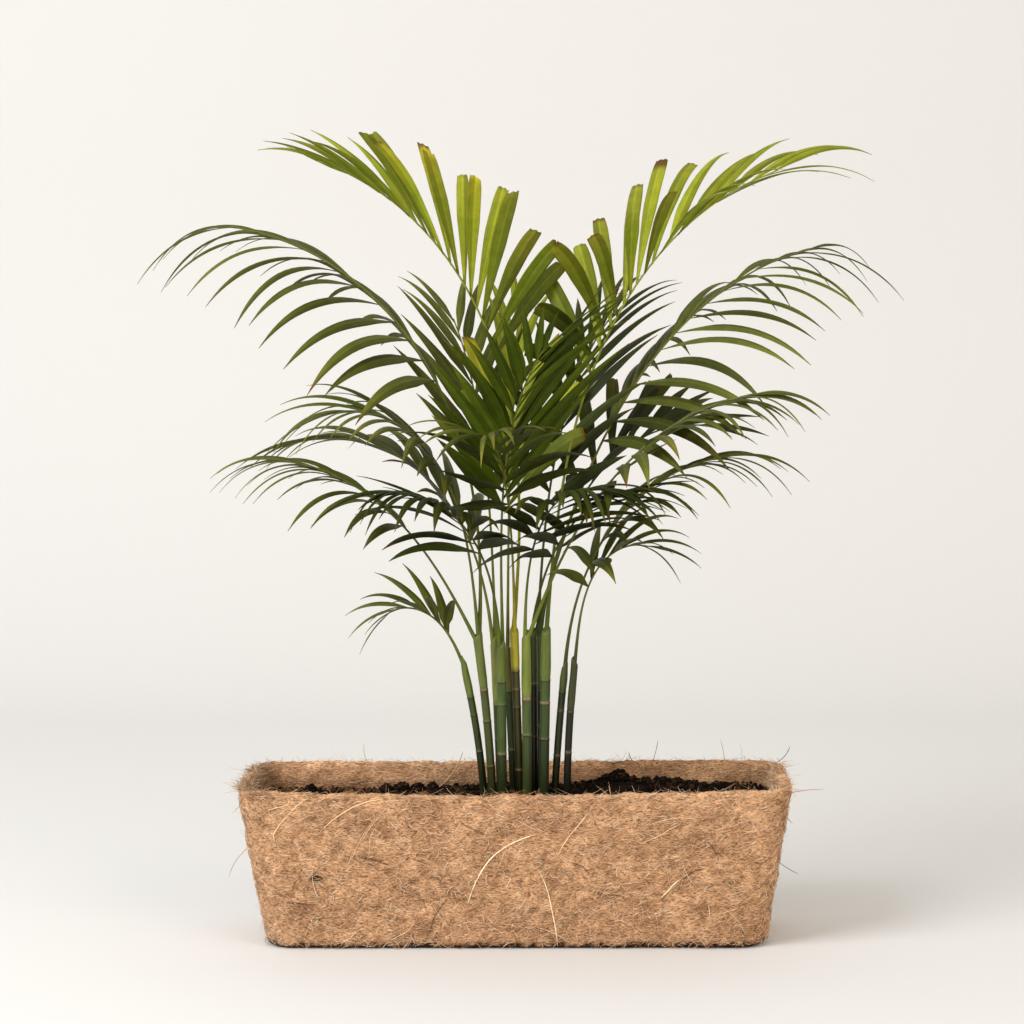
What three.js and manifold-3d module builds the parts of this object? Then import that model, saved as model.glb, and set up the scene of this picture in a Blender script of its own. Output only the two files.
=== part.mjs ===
// A potted palm: a clump of slender ringed canes with arching feather fronds, in a trough of
// matted coconut fibre filled with potting mix.
// Millimetres, +Z up. The trough stands on Z = 0, its long side along X and its front towards -Y.
import * as THREE from "three";
import Module from "manifold-3d";

const wasm = await Module();
wasm.setup();
const { Manifold, Mesh } = wasm;

// ---- Driving dimensions -------------------------------------------------------------------
const TROUGH = {
  length: 602, // across the rim
  depth: 200,
  height: 177,
  footLength: 548, // across the foot, so all four sides taper
  footDepth: 156,
  corner: 34, // plan radius at the rim
  wall: 12,
  rimSag: 5, // the middle of the front rim hangs this much lower
};
const SOIL_LEVEL = 152;
const SOIL_EDGE = 149; // where the soil meets the wall
const WALL_LEVELS = [58, 118]; // heights at which the outer face is shaped
const UNEVEN = 1.4; // bulge of the felt at those heights
const GAP = 0.3; // clearance kept between parts that touch
const SUNK = 66; // length of each cane below the soil
const SOCKET = 13; // depth to which a leaf stalk sits in its cane
const MOUTH_WALL = 0.9; // least wall of a cane round the stalks in its mouth

const rad = THREE.MathUtils.degToRad;
const lerp = THREE.MathUtils.lerp;
const vec = (x, y, z) => new THREE.Vector3(x, y, z);
const fract = (x) => x - Math.floor(x);
// A repeatable draw between -1 and 1 for a whole number.
const draw = (n) => 2 * fract(Math.sin(n) * 43758.5453) - 1;

// ---- Solids from rings --------------------------------------------------------------------
// Closes a stack of equal rings into a solid, each end with a fan round its own middle.
function loft(rings) {
  const size = rings[0].length;
  const points = rings.flat();
  const faces = [];
  for (let row = 0; row + 1 < rings.length; row += 1) {
    for (let i = 0; i < size; i += 1) {
      const a = row * size + i;
      const b = row * size + ((i + 1) % size);
      faces.push(a, b, b + size, a, b + size, a + size);
    }
  }
  const middle = (ring) =>
    ring.reduce((sum, p) => sum.add(p), vec(0, 0, 0)).divideScalar(size);
  const first = points.push(middle(rings[0])) - 1;
  const last = points.push(middle(rings.at(-1))) - 1;
  const top = (rings.length - 1) * size;
  for (let i = 0; i < size; i += 1) {
    const next = (i + 1) % size;
    faces.push(first, next, i, last, top + i, top + next);
  }
  return solid(points, faces);
}

function solid(points, faces) {
  const made = new Manifold(
    new Mesh({
      numProp: 3,
      vertProperties: new Float32Array(points.flatMap((p) => p.toArray())),
      triVerts: new Uint32Array(faces),
    }),
  );
  return made;
}

// A round rod through a line of points, with a radius for each.
function rod(line, radii, sides) {
  const rings = line.map((point, k) => {
    const ahead = line[Math.min(k + 1, line.length - 1)];
    const behind = line[Math.max(k - 1, 0)];
    const along = ahead.clone().sub(behind).normalize();
    const across = vec(0, -1, 0).cross(along).normalize();
    const up = along.clone().cross(across);
    return Array.from({ length: sides }, (_, i) => {
      const turn = (2 * Math.PI * i) / sides;
      return point
        .clone()
        .addScaledVector(across, radii[k] * Math.cos(turn))
        .addScaledVector(up, radii[k] * Math.sin(turn));
    });
  });
  return loft(rings);
}

// ---- Trough and soil ----------------------------------------------------------------------
const CORNER_STEPS = 3;
const LONG_STEPS = 6;
const FOOT_ROUND = [
  // inset and height along the soft bottom edge
  [9, 0],
  [3, 3],
  [0, 11],
];

// The plan outline of the trough, as unit directions of a rounded rectangle.
function outline(length, depth, corner) {
  const x = length / 2 - corner;
  const y = depth / 2 - corner;
  const points = [];
  const centres = [
    [x, y, 0],
    [-x, y, 90],
    [-x, -y, 180],
    [x, -y, 270],
  ];
  for (const [cx, cy, start] of centres) {
    for (let k = 0; k <= CORNER_STEPS; k += 1) {
      const turn = rad(start + (90 * k) / CORNER_STEPS);
      points.push([cx + corner * Math.cos(turn), cy + corner * Math.sin(turn)]);
    }
    if (start === 0 || start === 180) {
      const side = start === 0 ? 1 : -1;
      for (let k = 1; k < LONG_STEPS; k += 1) {
        points.push([side * x * (1 - (2 * k) / LONG_STEPS), (side * depth) / 2]);
      }
    }
  }
  return points;
}

// One level ring of the trough, inset from its outer face and bulging in and out by `uneven`.
function troughRing(height, inset, uneven = 0) {
  const share = height / TROUGH.height;
  const length = TROUGH.footLength + (TROUGH.length - TROUGH.footLength) * share;
  const depth = TROUGH.footDepth + (TROUGH.depth - TROUGH.footDepth) * share;
  const plan = outline(length - 2 * inset, depth - 2 * inset, TROUGH.corner - 0.6 * inset);
  return plan.map(([x, y]) => {
    const wave = uneven * Math.sin(x / 47 + height / 31) * Math.sin(Math.PI * share);
    const middle = Math.max(0, Math.cos((Math.PI * x) / TROUGH.length));
    const sag = y < 0 ? TROUGH.rimSag * middle * share ** 4 : 0;
    return vec(x, y + Math.sign(y) * wave, height - sag);
  });
}

function trough() {
  const { height, wall } = TROUGH;
  const outer = FOOT_ROUND.map(([inset, z]) => troughRing(z, inset));
  outer.push(...WALL_LEVELS.map((z) => troughRing(z, 0, UNEVEN)), troughRing(height - 4, 0));
  const rim = [troughRing(height, 3), troughRing(height, wall - 3)];
  const inner = [height - 4, SOIL_EDGE, wall].map((z) => troughRing(z, wall));
  return loft([...outer, ...rim, ...inner]);
}

// Humps of loose potting mix: middle x and y, spread and height.
const HUMPS = [
  [112, 34, 34, 15],
  [172, 30, 30, 10],
  [215, 12, 26, 7],
  [70, -8, 30, 6],
  [-90, 30, 34, 8],
  [-150, 8, 30, 7],
  [-232, 20, 28, 8],
  [-190, 42, 22, 5],
  [0, 0, 60, 4],
];
const SOIL_STEPS = [0.88, 0.6, 0.25];

function soilHeight(x, y) {
  const hump = ([cx, cy, spread, rise]) =>
    rise * Math.exp(-((x - cx) ** 2 + (y - cy) ** 2) / (spread * spread));
  const ripple = 1.6 * Math.sin(x / 9 + 1) * Math.sin(y / 7 + x / 23);
  return SOIL_LEVEL + ripple + HUMPS.reduce((sum, h) => sum + hump(h), 0);
}

function soilBlock() {
  const inset = TROUGH.wall + GAP + 0.2;
  const foot = troughRing(TROUGH.wall + GAP + 0.2, inset);
  const edge = troughRing(SOIL_EDGE, inset);
  const top = SOIL_STEPS.map((share) =>
    edge.map((p) => {
      const x = p.x * (share + 0.1 * (1 - share));
      return vec(x, p.y * share, soilHeight(x, p.y * share));
    }),
  );
  return loft([foot, edge, ...top]);
}

// ---- Canes --------------------------------------------------------------------------------
const CANE_SIDES = 6;
const RING_SWELL = 0.5; // how far a leaf scar stands out from the cane
const RING_HALF = 1.5; // half the height of a leaf scar
// foot: x and y at the soil; top: x, y, z of the sheath's mouth; bow: sideways at half height
// scars: heights of the rings
const CANES = {
  A: { foot: [-35, 0], top: [-56, -5, 300], radius: 4, bow: 3, scars: [265, 245, 205] },
  B: { foot: [-25, -15], top: [-40, -15, 330], radius: 4.5, bow: 2, scars: [275, 240, 190] },
  C: { foot: [-14, -20], top: [-14, -25, 320], radius: 5, bow: 0, scars: [285, 260, 205] },
  D: { foot: [5, -5], top: [0, -12, 335], radius: 4.5, bow: 0, scars: [295, 275, 255, 185] },
  E: { foot: [13, -16], top: [13, -16, 330], radius: 5, bow: 0, scars: [265, 225] },
  F: { foot: [31, -12], top: [35, -12, 335], radius: 5.5, bow: 0, scars: [285, 260, 220] },
  G: { foot: [43, -3], top: [55, -3, 295], radius: 4, bow: -1, scars: [270, 250, 200] },
  H: { foot: [57, -13], top: [66, -13, 300], radius: 4, bow: -2, scars: [250, 205] },
  I: { foot: [-17, 8], top: [-23, 14, 320], radius: 4, bow: 0, scars: [255, 215] },
  J: { foot: [24, 12], top: [26, 18, 325], radius: 4.5, bow: 0, scars: [270, 230] },
  K: { foot: [20, 2], top: [20, 2, 330], radius: 5, bow: 0, scars: [280, 220] },
  L: { foot: [-2, 6], top: [-8, 8, 310], radius: 4.5, bow: 0, scars: [270, 205] },
};

function caneAt(cane, z) {
  const [x, y, top] = cane.top;
  const share = Math.max(0, z - SOIL_LEVEL) / (top - SOIL_LEVEL);
  return vec(
    lerp(cane.foot[0], x, share) + 4 * cane.bow * share * (1 - share),
    lerp(cane.foot[1], y, share),
    z,
  );
}

// The ringed stem, then the smooth sheath that widens towards the mouth its stalks leave from.
function caneSolid(cane, grow = 0) {
  const { scars } = cane;
  const radius = cane.radius + grow;
  const top = cane.top[2];
  const marks = [
    [SOIL_LEVEL - SUNK - grow, radius],
    [SOIL_LEVEL, radius],
  ];
  for (const z of [...scars].sort((a, b) => a - b)) {
    marks.push([z - RING_HALF, radius + RING_SWELL]);
    marks.push([z + RING_HALF, radius]);
  }
  marks.push([marks.at(-1)[0] + 14, radius * 1.08], [top, Math.max(radius, mouthRadius(cane))]);
  const line = marks.map(([z]) => caneAt(cane, z));
  return rod(line, marks.map(([, r]) => r), CANE_SIDES);
}

// ---- Fronds -------------------------------------------------------------------------------
const OLD = { width: 18, lift: 14, level: 6, droop: 1, open: 58, close: 12, skew: 0, slat: 24,
  taper: 0.32, roll: 0, twist: 0, sway: 0, blunt: 0, uneven: 0 };
const YOUNG = { ...OLD, width: 20, lift: 50, level: 10, droop: 0.7, open: 42, close: 8,
  taper: 0.08, blunt: 0.55 };
// cane and seat: where the stalk leaves, seat being the side of the cane's mouth
// azimuth + sway: heading, from +X through the back; lean + bend: tilt from upright to the tip
// arch: how late the bend comes; bare: share of the stalk without leaflets
// open, close: leaflet angle at the first and last pair; skew: how far one row opens wider
// lift, level: rise of the two rows into a V at the first and last pair
// roll + twist: turn of the leafy plane about the stalk; uneven: how far one row is longer
// slat: turn of each blade about its own length, so that neighbours pass one over the other
// blunt: share of the leafy part, from its foot, whose blades have cut-off ends
const FRONDS = [
  { ...YOUNG, cane: "D", seat: 120, azimuth: 180, sway: 5, lean: -5, bend: 76, arch: 1.8,
    length: 605, bare: 0.5, pairs: 11, blade: 170, width: 18, taper: 0.45, open: 55, close: 5,
    lift: 60, level: 5, twist: -10, droop: 0.5 },
  { ...YOUNG, cane: "F", seat: 0, azimuth: 0, lean: 5, bend: 66, arch: 2, length: 600, bare: 0.45,
    pairs: 12, blade: 165, taper: 0.25, open: 60, close: 24, skew: -12, level: 4, twist: 20,
    droop: 0.6 },
  { ...OLD, cane: "C", seat: 30, azimuth: 276, sway: 30, lean: -11, bend: 62, arch: 1.2,
    length: 370, bare: 0.42, pairs: 14, blade: 176, width: 19, taper: 0.45, open: 42, close: 24,
    skew: -4, lift: 4, level: 4, droop: 0.25, slat: 18, uneven: 0.14 },
  { ...OLD, cane: "B", seat: 60, azimuth: 180, sway: 5, lean: -3, bend: 84, arch: 1.5, length: 580,
    bare: 0.47, pairs: 12, blade: 185, open: 55, close: 26, skew: 22, lift: -15, level: -10,
    roll: -15, droop: 1.35 },
  { ...OLD, cane: "K", seat: 15, azimuth: 13, lean: 16, bend: 61, arch: 1.9, length: 560, bare: 0.4,
    pairs: 14, blade: 180, open: 55, close: 28, skew: -20, lift: -15, level: -10, roll: 15,
    droop: 1.2 },
  { ...OLD, cane: "B", seat: 180, azimuth: 188, lean: 26, bend: 56, arch: 1.8, length: 300,
    bare: 0.46, pairs: 10, blade: 140, width: 14, skew: 14, lift: -4, level: -4, roll: -8,
    droop: 1.1 },
  { ...OLD, cane: "B", seat: 300, azimuth: 200, lean: 5, bend: 90, arch: 2.4, length: 330,
    bare: 0.5, pairs: 10, blade: 150, skew: 14, lift: -4, level: -4, roll: -8, droop: 1.1 },
  { ...OLD, cane: "G", seat: 0, azimuth: -13, lean: 6, bend: 78, arch: 1.4, length: 330, bare: 0.36,
    pairs: 9, blade: 130, width: 14, skew: -14, lift: -4, level: -4, roll: 12, droop: 1.2 },
  { ...OLD, cane: "E", seat: 50, azimuth: -25, lean: 23, bend: 57, arch: 1.7, length: 395,
    bare: 0.5, pairs: 10, blade: 140, skew: -14, lift: -4, level: -4, roll: 10, droop: 1.1 },
  { ...OLD, cane: "H", seat: 0, azimuth: -18, lean: 6, bend: 98, arch: 2.6, length: 180, bare: 0.48,
    pairs: 6, blade: 105, width: 13, open: 56, close: 26, skew: -14, lift: 44, level: -10, roll: 10,
    droop: 0.9 },
  { ...OLD, cane: "A", seat: 210, azimuth: 195, lean: 22, bend: 96, arch: 2, length: 118, bare: 0.3,
    pairs: 6, blade: 85, width: 12, open: 46, close: 26, skew: 14, lift: 44, level: -10, roll: -8,
    droop: 0.8 },
  { ...OLD, cane: "I", seat: 50, azimuth: 116, lean: 3, bend: 42, arch: 2, length: 385, bare: 0.42,
    pairs: 8, blade: 150, width: 22, open: 42, close: 14, lift: 10, level: 0, droop: 0.4,
    slat: 10 },
  { ...OLD, cane: "J", seat: 130, azimuth: 50, lean: 5, bend: 48, arch: 2, length: 400, bare: 0.36,
    pairs: 9, blade: 155, width: 21, lift: 8, level: 0, droop: 0.5, slat: 10 },
  { ...YOUNG, cane: "L", seat: 0, azimuth: 84, lean: 5, bend: 34, arch: 2, length: 390, bare: 0.4,
    pairs: 6, blade: 140, width: 22, open: 36, lift: 15, level: 5, slat: 10 },
  { ...OLD, cane: "I", seat: 230, azimuth: 170, lean: 6, bend: 86, arch: 1.6, length: 325,
    bare: 0.34, pairs: 8, blade: 160 },
  { ...OLD, cane: "J", seat: 310, azimuth: 30, lean: 9, bend: 92, arch: 1.6, length: 360,
    bare: 0.42, pairs: 8, blade: 125, width: 20, open: 64, lift: 66, level: 16, droop: 0.35,
    blunt: 0.5 },
  { ...OLD, cane: "C", seat: 210, azimuth: 240, sway: -25, lean: 4, bend: 84, arch: 1.3,
    length: 265, bare: 0.42, pairs: 12, blade: 130, width: 20, open: 66, close: 20, skew: 5,
    lift: -5, level: -10 },
  { ...OLD, cane: "E", seat: 230, azimuth: 280, sway: 30, lean: 6, bend: 78, arch: 1.3, length: 250,
    bare: 0.42, pairs: 10, blade: 135, width: 20, open: 62, close: 20, lift: -5, level: -10 },
  { ...OLD, cane: "K", seat: 195, azimuth: 310, sway: 10, lean: 12, bend: 70, arch: 1.3,
    length: 250, bare: 0.38, pairs: 9, blade: 125, width: 20, open: 64, close: 20, skew: -5,
    lift: -5, level: -10 },
  { ...OLD, cane: "D", seat: 300, azimuth: 258, lean: 4, bend: 86, arch: 2.2, length: 290,
    bare: 0.5, pairs: 8, blade: 135, open: 66, lift: 4, droop: 0.8 },
];

const STALK_SIDES = 4;
const STALK_STEPS = 12;
const BLADE_STEPS = 10;
const ROOT = 0.6; // half width and rib of a blade where it starts, inside its stalk
const BLADE_RINGS = [0, 3, 7];
const LONG_RINGS = [0, 2, 5, 8];
const BLUNT_RINGS = [0, 2, 6, 9];
const LONG_BLADE = 190; // blades from this length on bend in more places
const SCATTER = { open: 4, lift: 6, length: 0.08, droop: 0.25 };
const TRIES = 16;
const WHOLE_TRIES = 5; // after this many a blade grows shorter at each further try

const stalkRadius = (frond, u) => {
  const base = 1.3 + frond.length / 900;
  return lerp(base, 0.8, Math.min(1, u) ** 0.8);
};

function heading(frond, u) {
  const tilt = rad(frond.lean + frond.bend * Math.pow(Math.max(u, 0), frond.arch));
  const turn = rad(frond.azimuth + frond.sway * u);
  return vec(
    Math.sin(tilt) * Math.cos(turn),
    Math.sin(tilt) * Math.sin(turn),
    Math.cos(tilt),
  );
}

const seatedIn = (cane) => FRONDS.filter((frond) => CANES[frond.cane] === cane);

// Stalks that share a mouth stand side by side in it.
function seatOffset(frond) {
  const sharing = seatedIn(CANES[frond.cane]).length;
  return sharing === 1 ? 0 : (stalkRadius(frond, 0) + 0.25) / Math.sin(Math.PI / sharing);
}

function mouthRadius(cane) {
  const reach = (frond) => seatOffset(frond) + stalkRadius(frond, 0) + GAP + MOUTH_WALL;
  return Math.max(...seatedIn(cane).map(reach));
}

// The stalk of a frond as points from its cane's mouth to its tip.
function stalkLine(frond) {
  const cane = CANES[frond.cane];
  const off = seatOffset(frond);
  const start = vec(...cane.top).add(
    vec(off * Math.cos(rad(frond.seat)), off * Math.sin(rad(frond.seat)), 0),
  );
  const line = [start];
  for (let k = 0; k < STALK_STEPS; k += 1) {
    const step = heading(frond, (k + 0.5) / STALK_STEPS);
    line.push(line[k].clone().addScaledVector(step, frond.length / STALK_STEPS));
  }
  return line;
}

function along(line, share) {
  const k = Math.min(share * (line.length - 1), line.length - 1 - 1e-9);
  const i = Math.floor(k);
  return line[i].clone().lerp(line[i + 1], k - i);
}

// Its foot goes on down inside the cane, along the cane.
function stalk(frond, line, grow = 0) {
  const cane = CANES[frond.cane];
  const down = caneAt(cane, SOIL_LEVEL).sub(vec(...cane.top)).normalize();
  const foot = line[0].clone().addScaledVector(down, SOCKET + grow);
  const radii = line.map((_, k) => stalkRadius(frond, k / STALK_STEPS) + grow);
  return rod([foot, ...line], [radii[0], ...radii], STALK_SIDES);
}

// Half width of a blade along its length, as a share of its full half width.
function bladeShape(t, blunt) {
  const root = Math.min(1, 0.1 + 3.2 * t);
  const start = blunt ? 0.7 : 0.35;
  const fall = Math.max(0, (t - start) / (1 - start));
  return root * (1 - Math.pow(fall, blunt ? 2.6 : 1.6));
}

// One leaflet: its middle line, its facing and its size, for one of several tries.
function leaflet(frond, line, order, index, side, attempt) {
  const v = (index + 0.5 + 0.24 * side) / frond.pairs;
  const u = frond.bare + (1 - frond.bare) * Math.min(v, 0.995);
  const seed = order * 613 + index * 29 + (side > 0 ? 7 : 14) + attempt * 191;
  const loose = 1 + 0.35 * attempt;
  const forward = heading(frond, u);
  const turn = rad(frond.azimuth + frond.sway * u);
  const flat = vec(-Math.sin(turn), Math.cos(turn), 0);
  const face = forward.clone().cross(flat);
  const roll = rad(frond.roll + frond.twist * v);
  const across = flat.clone().applyAxisAngle(forward, roll);
  const up = face.clone().applyAxisAngle(forward, roll);
  const open = rad(
    lerp(frond.open + frond.skew * side, frond.close, Math.pow(v, 0.8)) +
      SCATTER.open * loose * draw(seed),
  );
  const lift = rad(
    lerp(frond.lift, frond.level, v) + SCATTER.lift * loose * draw(seed + 1),
  );
  const short = 1 - 0.07 * Math.max(0, attempt - WHOLE_TRIES);
  const size = (1 - frond.taper * v * v) * (0.78 + 0.22 * Math.min(1, v / 0.2));
  const scatter = 1 + SCATTER.length * draw(seed + 2);
  const length = frond.blade * size * short * scatter * (1 + frond.uneven * side);
  const width = frond.width * (1 - 0.6 * v);
  const droop =
    frond.droop * (0.75 + 0.5 * v) * (1 + SCATTER.droop * loose * draw(seed + 3));
  const out = across
    .clone()
    .multiplyScalar(side * Math.cos(lift))
    .addScaledVector(up, Math.sin(lift));
  const begin = forward
    .clone()
    .multiplyScalar(Math.cos(open))
    .addScaledVector(out, Math.sin(open));
  const facing = up
    .clone()
    .multiplyScalar(Math.cos(lift))
    .addScaledVector(across, -side * Math.sin(lift))
    .applyAxisAngle(begin.clone().normalize(), side * rad(frond.slat));
  const points = [along(line, u)];
  for (let k = 0; k < BLADE_STEPS; k += 1) {
    const step = bladeHeading(begin, droop, (k + 0.5) / BLADE_STEPS);
    points.push(points[k].clone().addScaledVector(step, length / BLADE_STEPS));
  }
  return { begin, droop, facing, points, width, length, blunt: v < frond.blunt };
}

function bladeHeading(begin, droop, t) {
  return begin
    .clone()
    .add(vec(0, 0, -droop * Math.pow(t, 1.5)))
    .normalize();
}

// A blade has a raised midrib, so each ring is its two edges and the rib above them.
function bladeRing(blade, k) {
  const t = k / BLADE_STEPS;
  const ahead = bladeHeading(blade.begin, blade.droop, t);
  const up = blade.facing.clone().addScaledVector(ahead, -blade.facing.dot(ahead)).normalize();
  const across = ahead.clone().cross(up);
  const half = k === 0 ? ROOT : Math.max(0.8, (blade.width / 2) * bladeShape(t, blade.blunt));
  const rib = k === 0 ? ROOT : Math.max(1, half * 0.2);
  return [
    blade.points[k].clone().addScaledVector(across, -half),
    blade.points[k].clone().addScaledVector(up, rib),
    blade.points[k].clone().addScaledVector(across, half),
  ];
}

function bladeRows(blade) {
  if (blade.blunt) return BLUNT_RINGS;
  return blade.length < LONG_BLADE ? BLADE_RINGS : LONG_RINGS;
}

function bladeSolid(blade) {
  const rings = bladeRows(blade).map((k) => bladeRing(blade, k));
  const size = 3;
  const points = [...rings.flat(), blade.points[BLADE_STEPS].clone()];
  const tip = points.length - 1;
  const faces = [0, 2, 1];
  for (let row = 0; row + 1 < rings.length; row += 1) {
    for (let i = 0; i < size; i += 1) {
      const a = row * size + i;
      const b = row * size + ((i + 1) % size);
      faces.push(a, b, b + size, a, b + size, a + size);
    }
  }
  const end = (rings.length - 1) * size;
  for (let i = 0; i < size; i += 1) {
    faces.push(end + i, end + ((i + 1) % size), tip);
  }
  return solid(points, faces);
}

// ---- Keeping the leaflets clear of each other ---------------------------------------------
const near = (a, b, reach) =>
  [0, 1, 2].every(
    (i) => a.box.min[i] - reach < b.box.max[i] && b.box.min[i] - reach < a.box.max[i],
  );
const boxed = (shape, owner) => ({ shape, owner, box: shape.boundingBox() });

function clear(candidate, placed) {
  const reach = GAP + 0.05;
  return placed.every(
    (other) =>
      other.owner === candidate.owner ||
      !near(candidate, other, reach) ||
      candidate.shape.minGap(other.shape, reach) >= GAP,
  );
}

// ---- Putting the plant together -----------------------------------------------------------
const lines = FRONDS.map(stalkLine);
const stalks = FRONDS.map((frond, order) => stalk(frond, lines[order]));
const canes = Object.entries(CANES).map(([name, cane]) => {
  const seated = FRONDS.map((frond, order) => ({ frond, line: lines[order] })).filter(
    ({ frond }) => frond.cane === name,
  );
  const sockets = seated.map(({ frond, line }) => stalk(frond, line, GAP * 1.27));
  return [name, Manifold.difference([caneSolid(cane), ...sockets])];
});

// Blades are placed one at a time; each takes the first try that clears everything before it.
function placeBlades() {
  const placed = [
    ...canes.map(([name, shape]) => boxed(shape, name)),
    ...stalks.map((shape, order) => boxed(shape, "stalk" + order)),
  ];
  return FRONDS.map((frond, order) => {
    const blades = [];
    for (let index = 0; index < frond.pairs; index += 1) {
      for (const side of [1, -1]) {
        for (let attempt = 0; attempt < TRIES; attempt += 1) {
          const blade = leaflet(frond, lines[order], order, index, side, attempt);
          const candidate = boxed(bladeSolid(blade), "stalk" + order);
          if (clear(candidate, placed)) {
            blades.push(candidate.shape);
            placed.push({ ...candidate, owner: "blade" });
            break;
          }
        }
      }
    }
    return blades;
  });
}

const blades = placeBlades();
const fronds = FRONDS.map((frond, order) =>
  Manifold.union([stalks[order], ...blades[order]]).simplify(0.02),
);
const soil = Manifold.difference([
  soilBlock(),
  ...Object.values(CANES).map((cane) => caneSolid(cane, GAP)),
]).simplify(0.02);

// ---- Materials and meshes -----------------------------------------------------------------
const paint = (colour, roughness) => new THREE.MeshStandardMaterial({ color: colour, roughness });

function mesh(name, shape, material) {
  const data = shape.getMesh();
  const position = new Float32Array(data.numVert * 3);
  for (let i = 0; i < data.numVert; i += 1) {
    position.set(data.vertProperties.subarray(i * data.numProp, i * data.numProp + 3), i * 3);
  }
  const geometry = new THREE.BufferGeometry()
    .setAttribute("position", new THREE.BufferAttribute(position, 3))
    .setIndex(new THREE.BufferAttribute(new Uint32Array(data.triVerts), 1));
  const made = new THREE.Mesh(geometry, material);
  made.name = name;
  return made;
}

const plant = new THREE.Group();
plant.name = "potted_palm";
plant.add(mesh("trough", trough(), paint(0x9c7347, 0.95)));
plant.add(mesh("soil", soil, paint(0x241a14, 0.95)));
for (const [name, shape] of canes) {
  plant.add(mesh("cane_" + name.toLowerCase(), shape, paint(0x3f4f2a, 0.6)));
}
fronds.forEach((shape, order) => {
  const name = "frond_" + String(order + 1).padStart(2, "0");
  const colour = FRONDS[order].blunt > 0.5 ? 0x7d9128 : 0x33501f;
  plant.add(mesh(name, shape, paint(colour, 0.5)));
});
export default plant;
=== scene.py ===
"""A potted palm in a trough of coconut fibre: its fine shapes, colours, camera and light.

Lengths are millimetres unless a name says otherwise, +Z is up and the front faces -Y.
"""

import itertools
import math

import bpy
import numpy as np
from mathutils import Euler, Matrix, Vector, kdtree


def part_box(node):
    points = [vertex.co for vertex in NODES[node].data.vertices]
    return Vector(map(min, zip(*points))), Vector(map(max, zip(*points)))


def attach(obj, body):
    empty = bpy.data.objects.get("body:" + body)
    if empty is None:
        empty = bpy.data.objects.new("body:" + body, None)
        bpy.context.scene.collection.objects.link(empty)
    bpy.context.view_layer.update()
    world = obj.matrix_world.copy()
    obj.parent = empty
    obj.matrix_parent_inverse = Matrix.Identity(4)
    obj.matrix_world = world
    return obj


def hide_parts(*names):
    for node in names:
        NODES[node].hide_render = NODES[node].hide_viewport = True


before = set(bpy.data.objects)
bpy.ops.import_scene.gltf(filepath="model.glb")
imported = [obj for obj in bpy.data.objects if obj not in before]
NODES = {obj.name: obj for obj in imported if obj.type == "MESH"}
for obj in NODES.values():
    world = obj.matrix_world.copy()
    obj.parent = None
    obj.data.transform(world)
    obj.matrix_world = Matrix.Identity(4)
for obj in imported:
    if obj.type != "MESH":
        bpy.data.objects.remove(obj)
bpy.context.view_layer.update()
METRE = 0.001
rng = np.random.default_rng(7)

# ---- Measures of the plant and its trough ---------------------------------------------------
TROUGH_LOW, TROUGH_HIGH = (np.array(p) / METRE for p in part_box("trough"))
HEIGHT = TROUGH_HIGH[2]
RIM_LENGTH, RIM_DEPTH = (TROUGH_HIGH - TROUGH_LOW)[:2]
TAPER_LENGTH = 54  # how much shorter the trough's foot is than its rim
TAPER_DEPTH = 44
FOOT_LENGTH = RIM_LENGTH - TAPER_LENGTH
FOOT_DEPTH = RIM_DEPTH - TAPER_DEPTH
CORNER = 34
WALL = 12
RIM_SAG = 5
SOIL_LEVEL = 152
CANE_DEPTH = 66  # how deep the canes are sunk in the mix
SOCKET = 13  # how deep a stalk sits in its sheath
STALK_STEPS = 12
BLADE_STEPS = 10
TRIES = 16
WHOLE_TRIES = 5  # a try numbered above this gives a shorter blade
TIP_MATCH = 0.6  # how near a blade's end must lie to a corner of the solid

# foot: x and y at the soil; top: x, y, z of the sheath's mouth; bow: sideways at half height
# scars: heights of the rings
CANES = {
    "a": dict(foot=(-35, 0), top=(-56, -5, 300), radius=4, bow=3, scars=(265, 245, 205)),
    "b": dict(foot=(-25, -15), top=(-40, -15, 330), radius=4.5, bow=2, scars=(275, 240, 190)),
    "c": dict(foot=(-14, -20), top=(-14, -25, 320), radius=5, bow=0, scars=(285, 260, 205)),
    "d": dict(foot=(5, -5), top=(0, -12, 335), radius=4.5, bow=0, scars=(295, 275, 255, 185)),
    "e": dict(foot=(13, -16), top=(13, -16, 330), radius=5, bow=0, scars=(265, 225)),
    "f": dict(foot=(31, -12), top=(35, -12, 335), radius=5.5, bow=0, scars=(285, 260, 220)),
    "g": dict(foot=(43, -3), top=(55, -3, 295), radius=4, bow=-1, scars=(270, 250, 200)),
    "h": dict(foot=(57, -13), top=(66, -13, 300), radius=4, bow=-2, scars=(250, 205)),
    "i": dict(foot=(-17, 8), top=(-23, 14, 320), radius=4, bow=0, scars=(255, 215)),
    "j": dict(foot=(24, 12), top=(26, 18, 325), radius=4.5, bow=0, scars=(270, 230)),
    "k": dict(foot=(20, 2), top=(20, 2, 330), radius=5, bow=0, scars=(280, 220)),
    "l": dict(foot=(-2, 6), top=(-8, 8, 310), radius=4.5, bow=0, scars=(270, 205)),
}

OLD = dict(width=18, lift=14, level=6, droop=1, open=58, close=12, skew=0, slat=24, taper=0.32,
           roll=0, twist=0, sway=0, blunt=0, uneven=0, hue="dark")
YOUNG = dict(OLD, width=20, lift=50, level=10, droop=0.7, open=42, close=8, taper=0.08,
             blunt=0.55, hue="young")
LONG = dict(OLD, open=55, lift=-15, level=-10)
LOW = dict(OLD, lift=-4, level=-4)
SMALL = dict(OLD, pairs=6, close=26, lift=44, level=-10)
# the fronds in the middle of the clump take the hue darkened with painted shade
MIDDLE = dict(OLD, arch=1.3, width=20, close=20, lift=-5, level=-10, hue="shaded")
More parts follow.
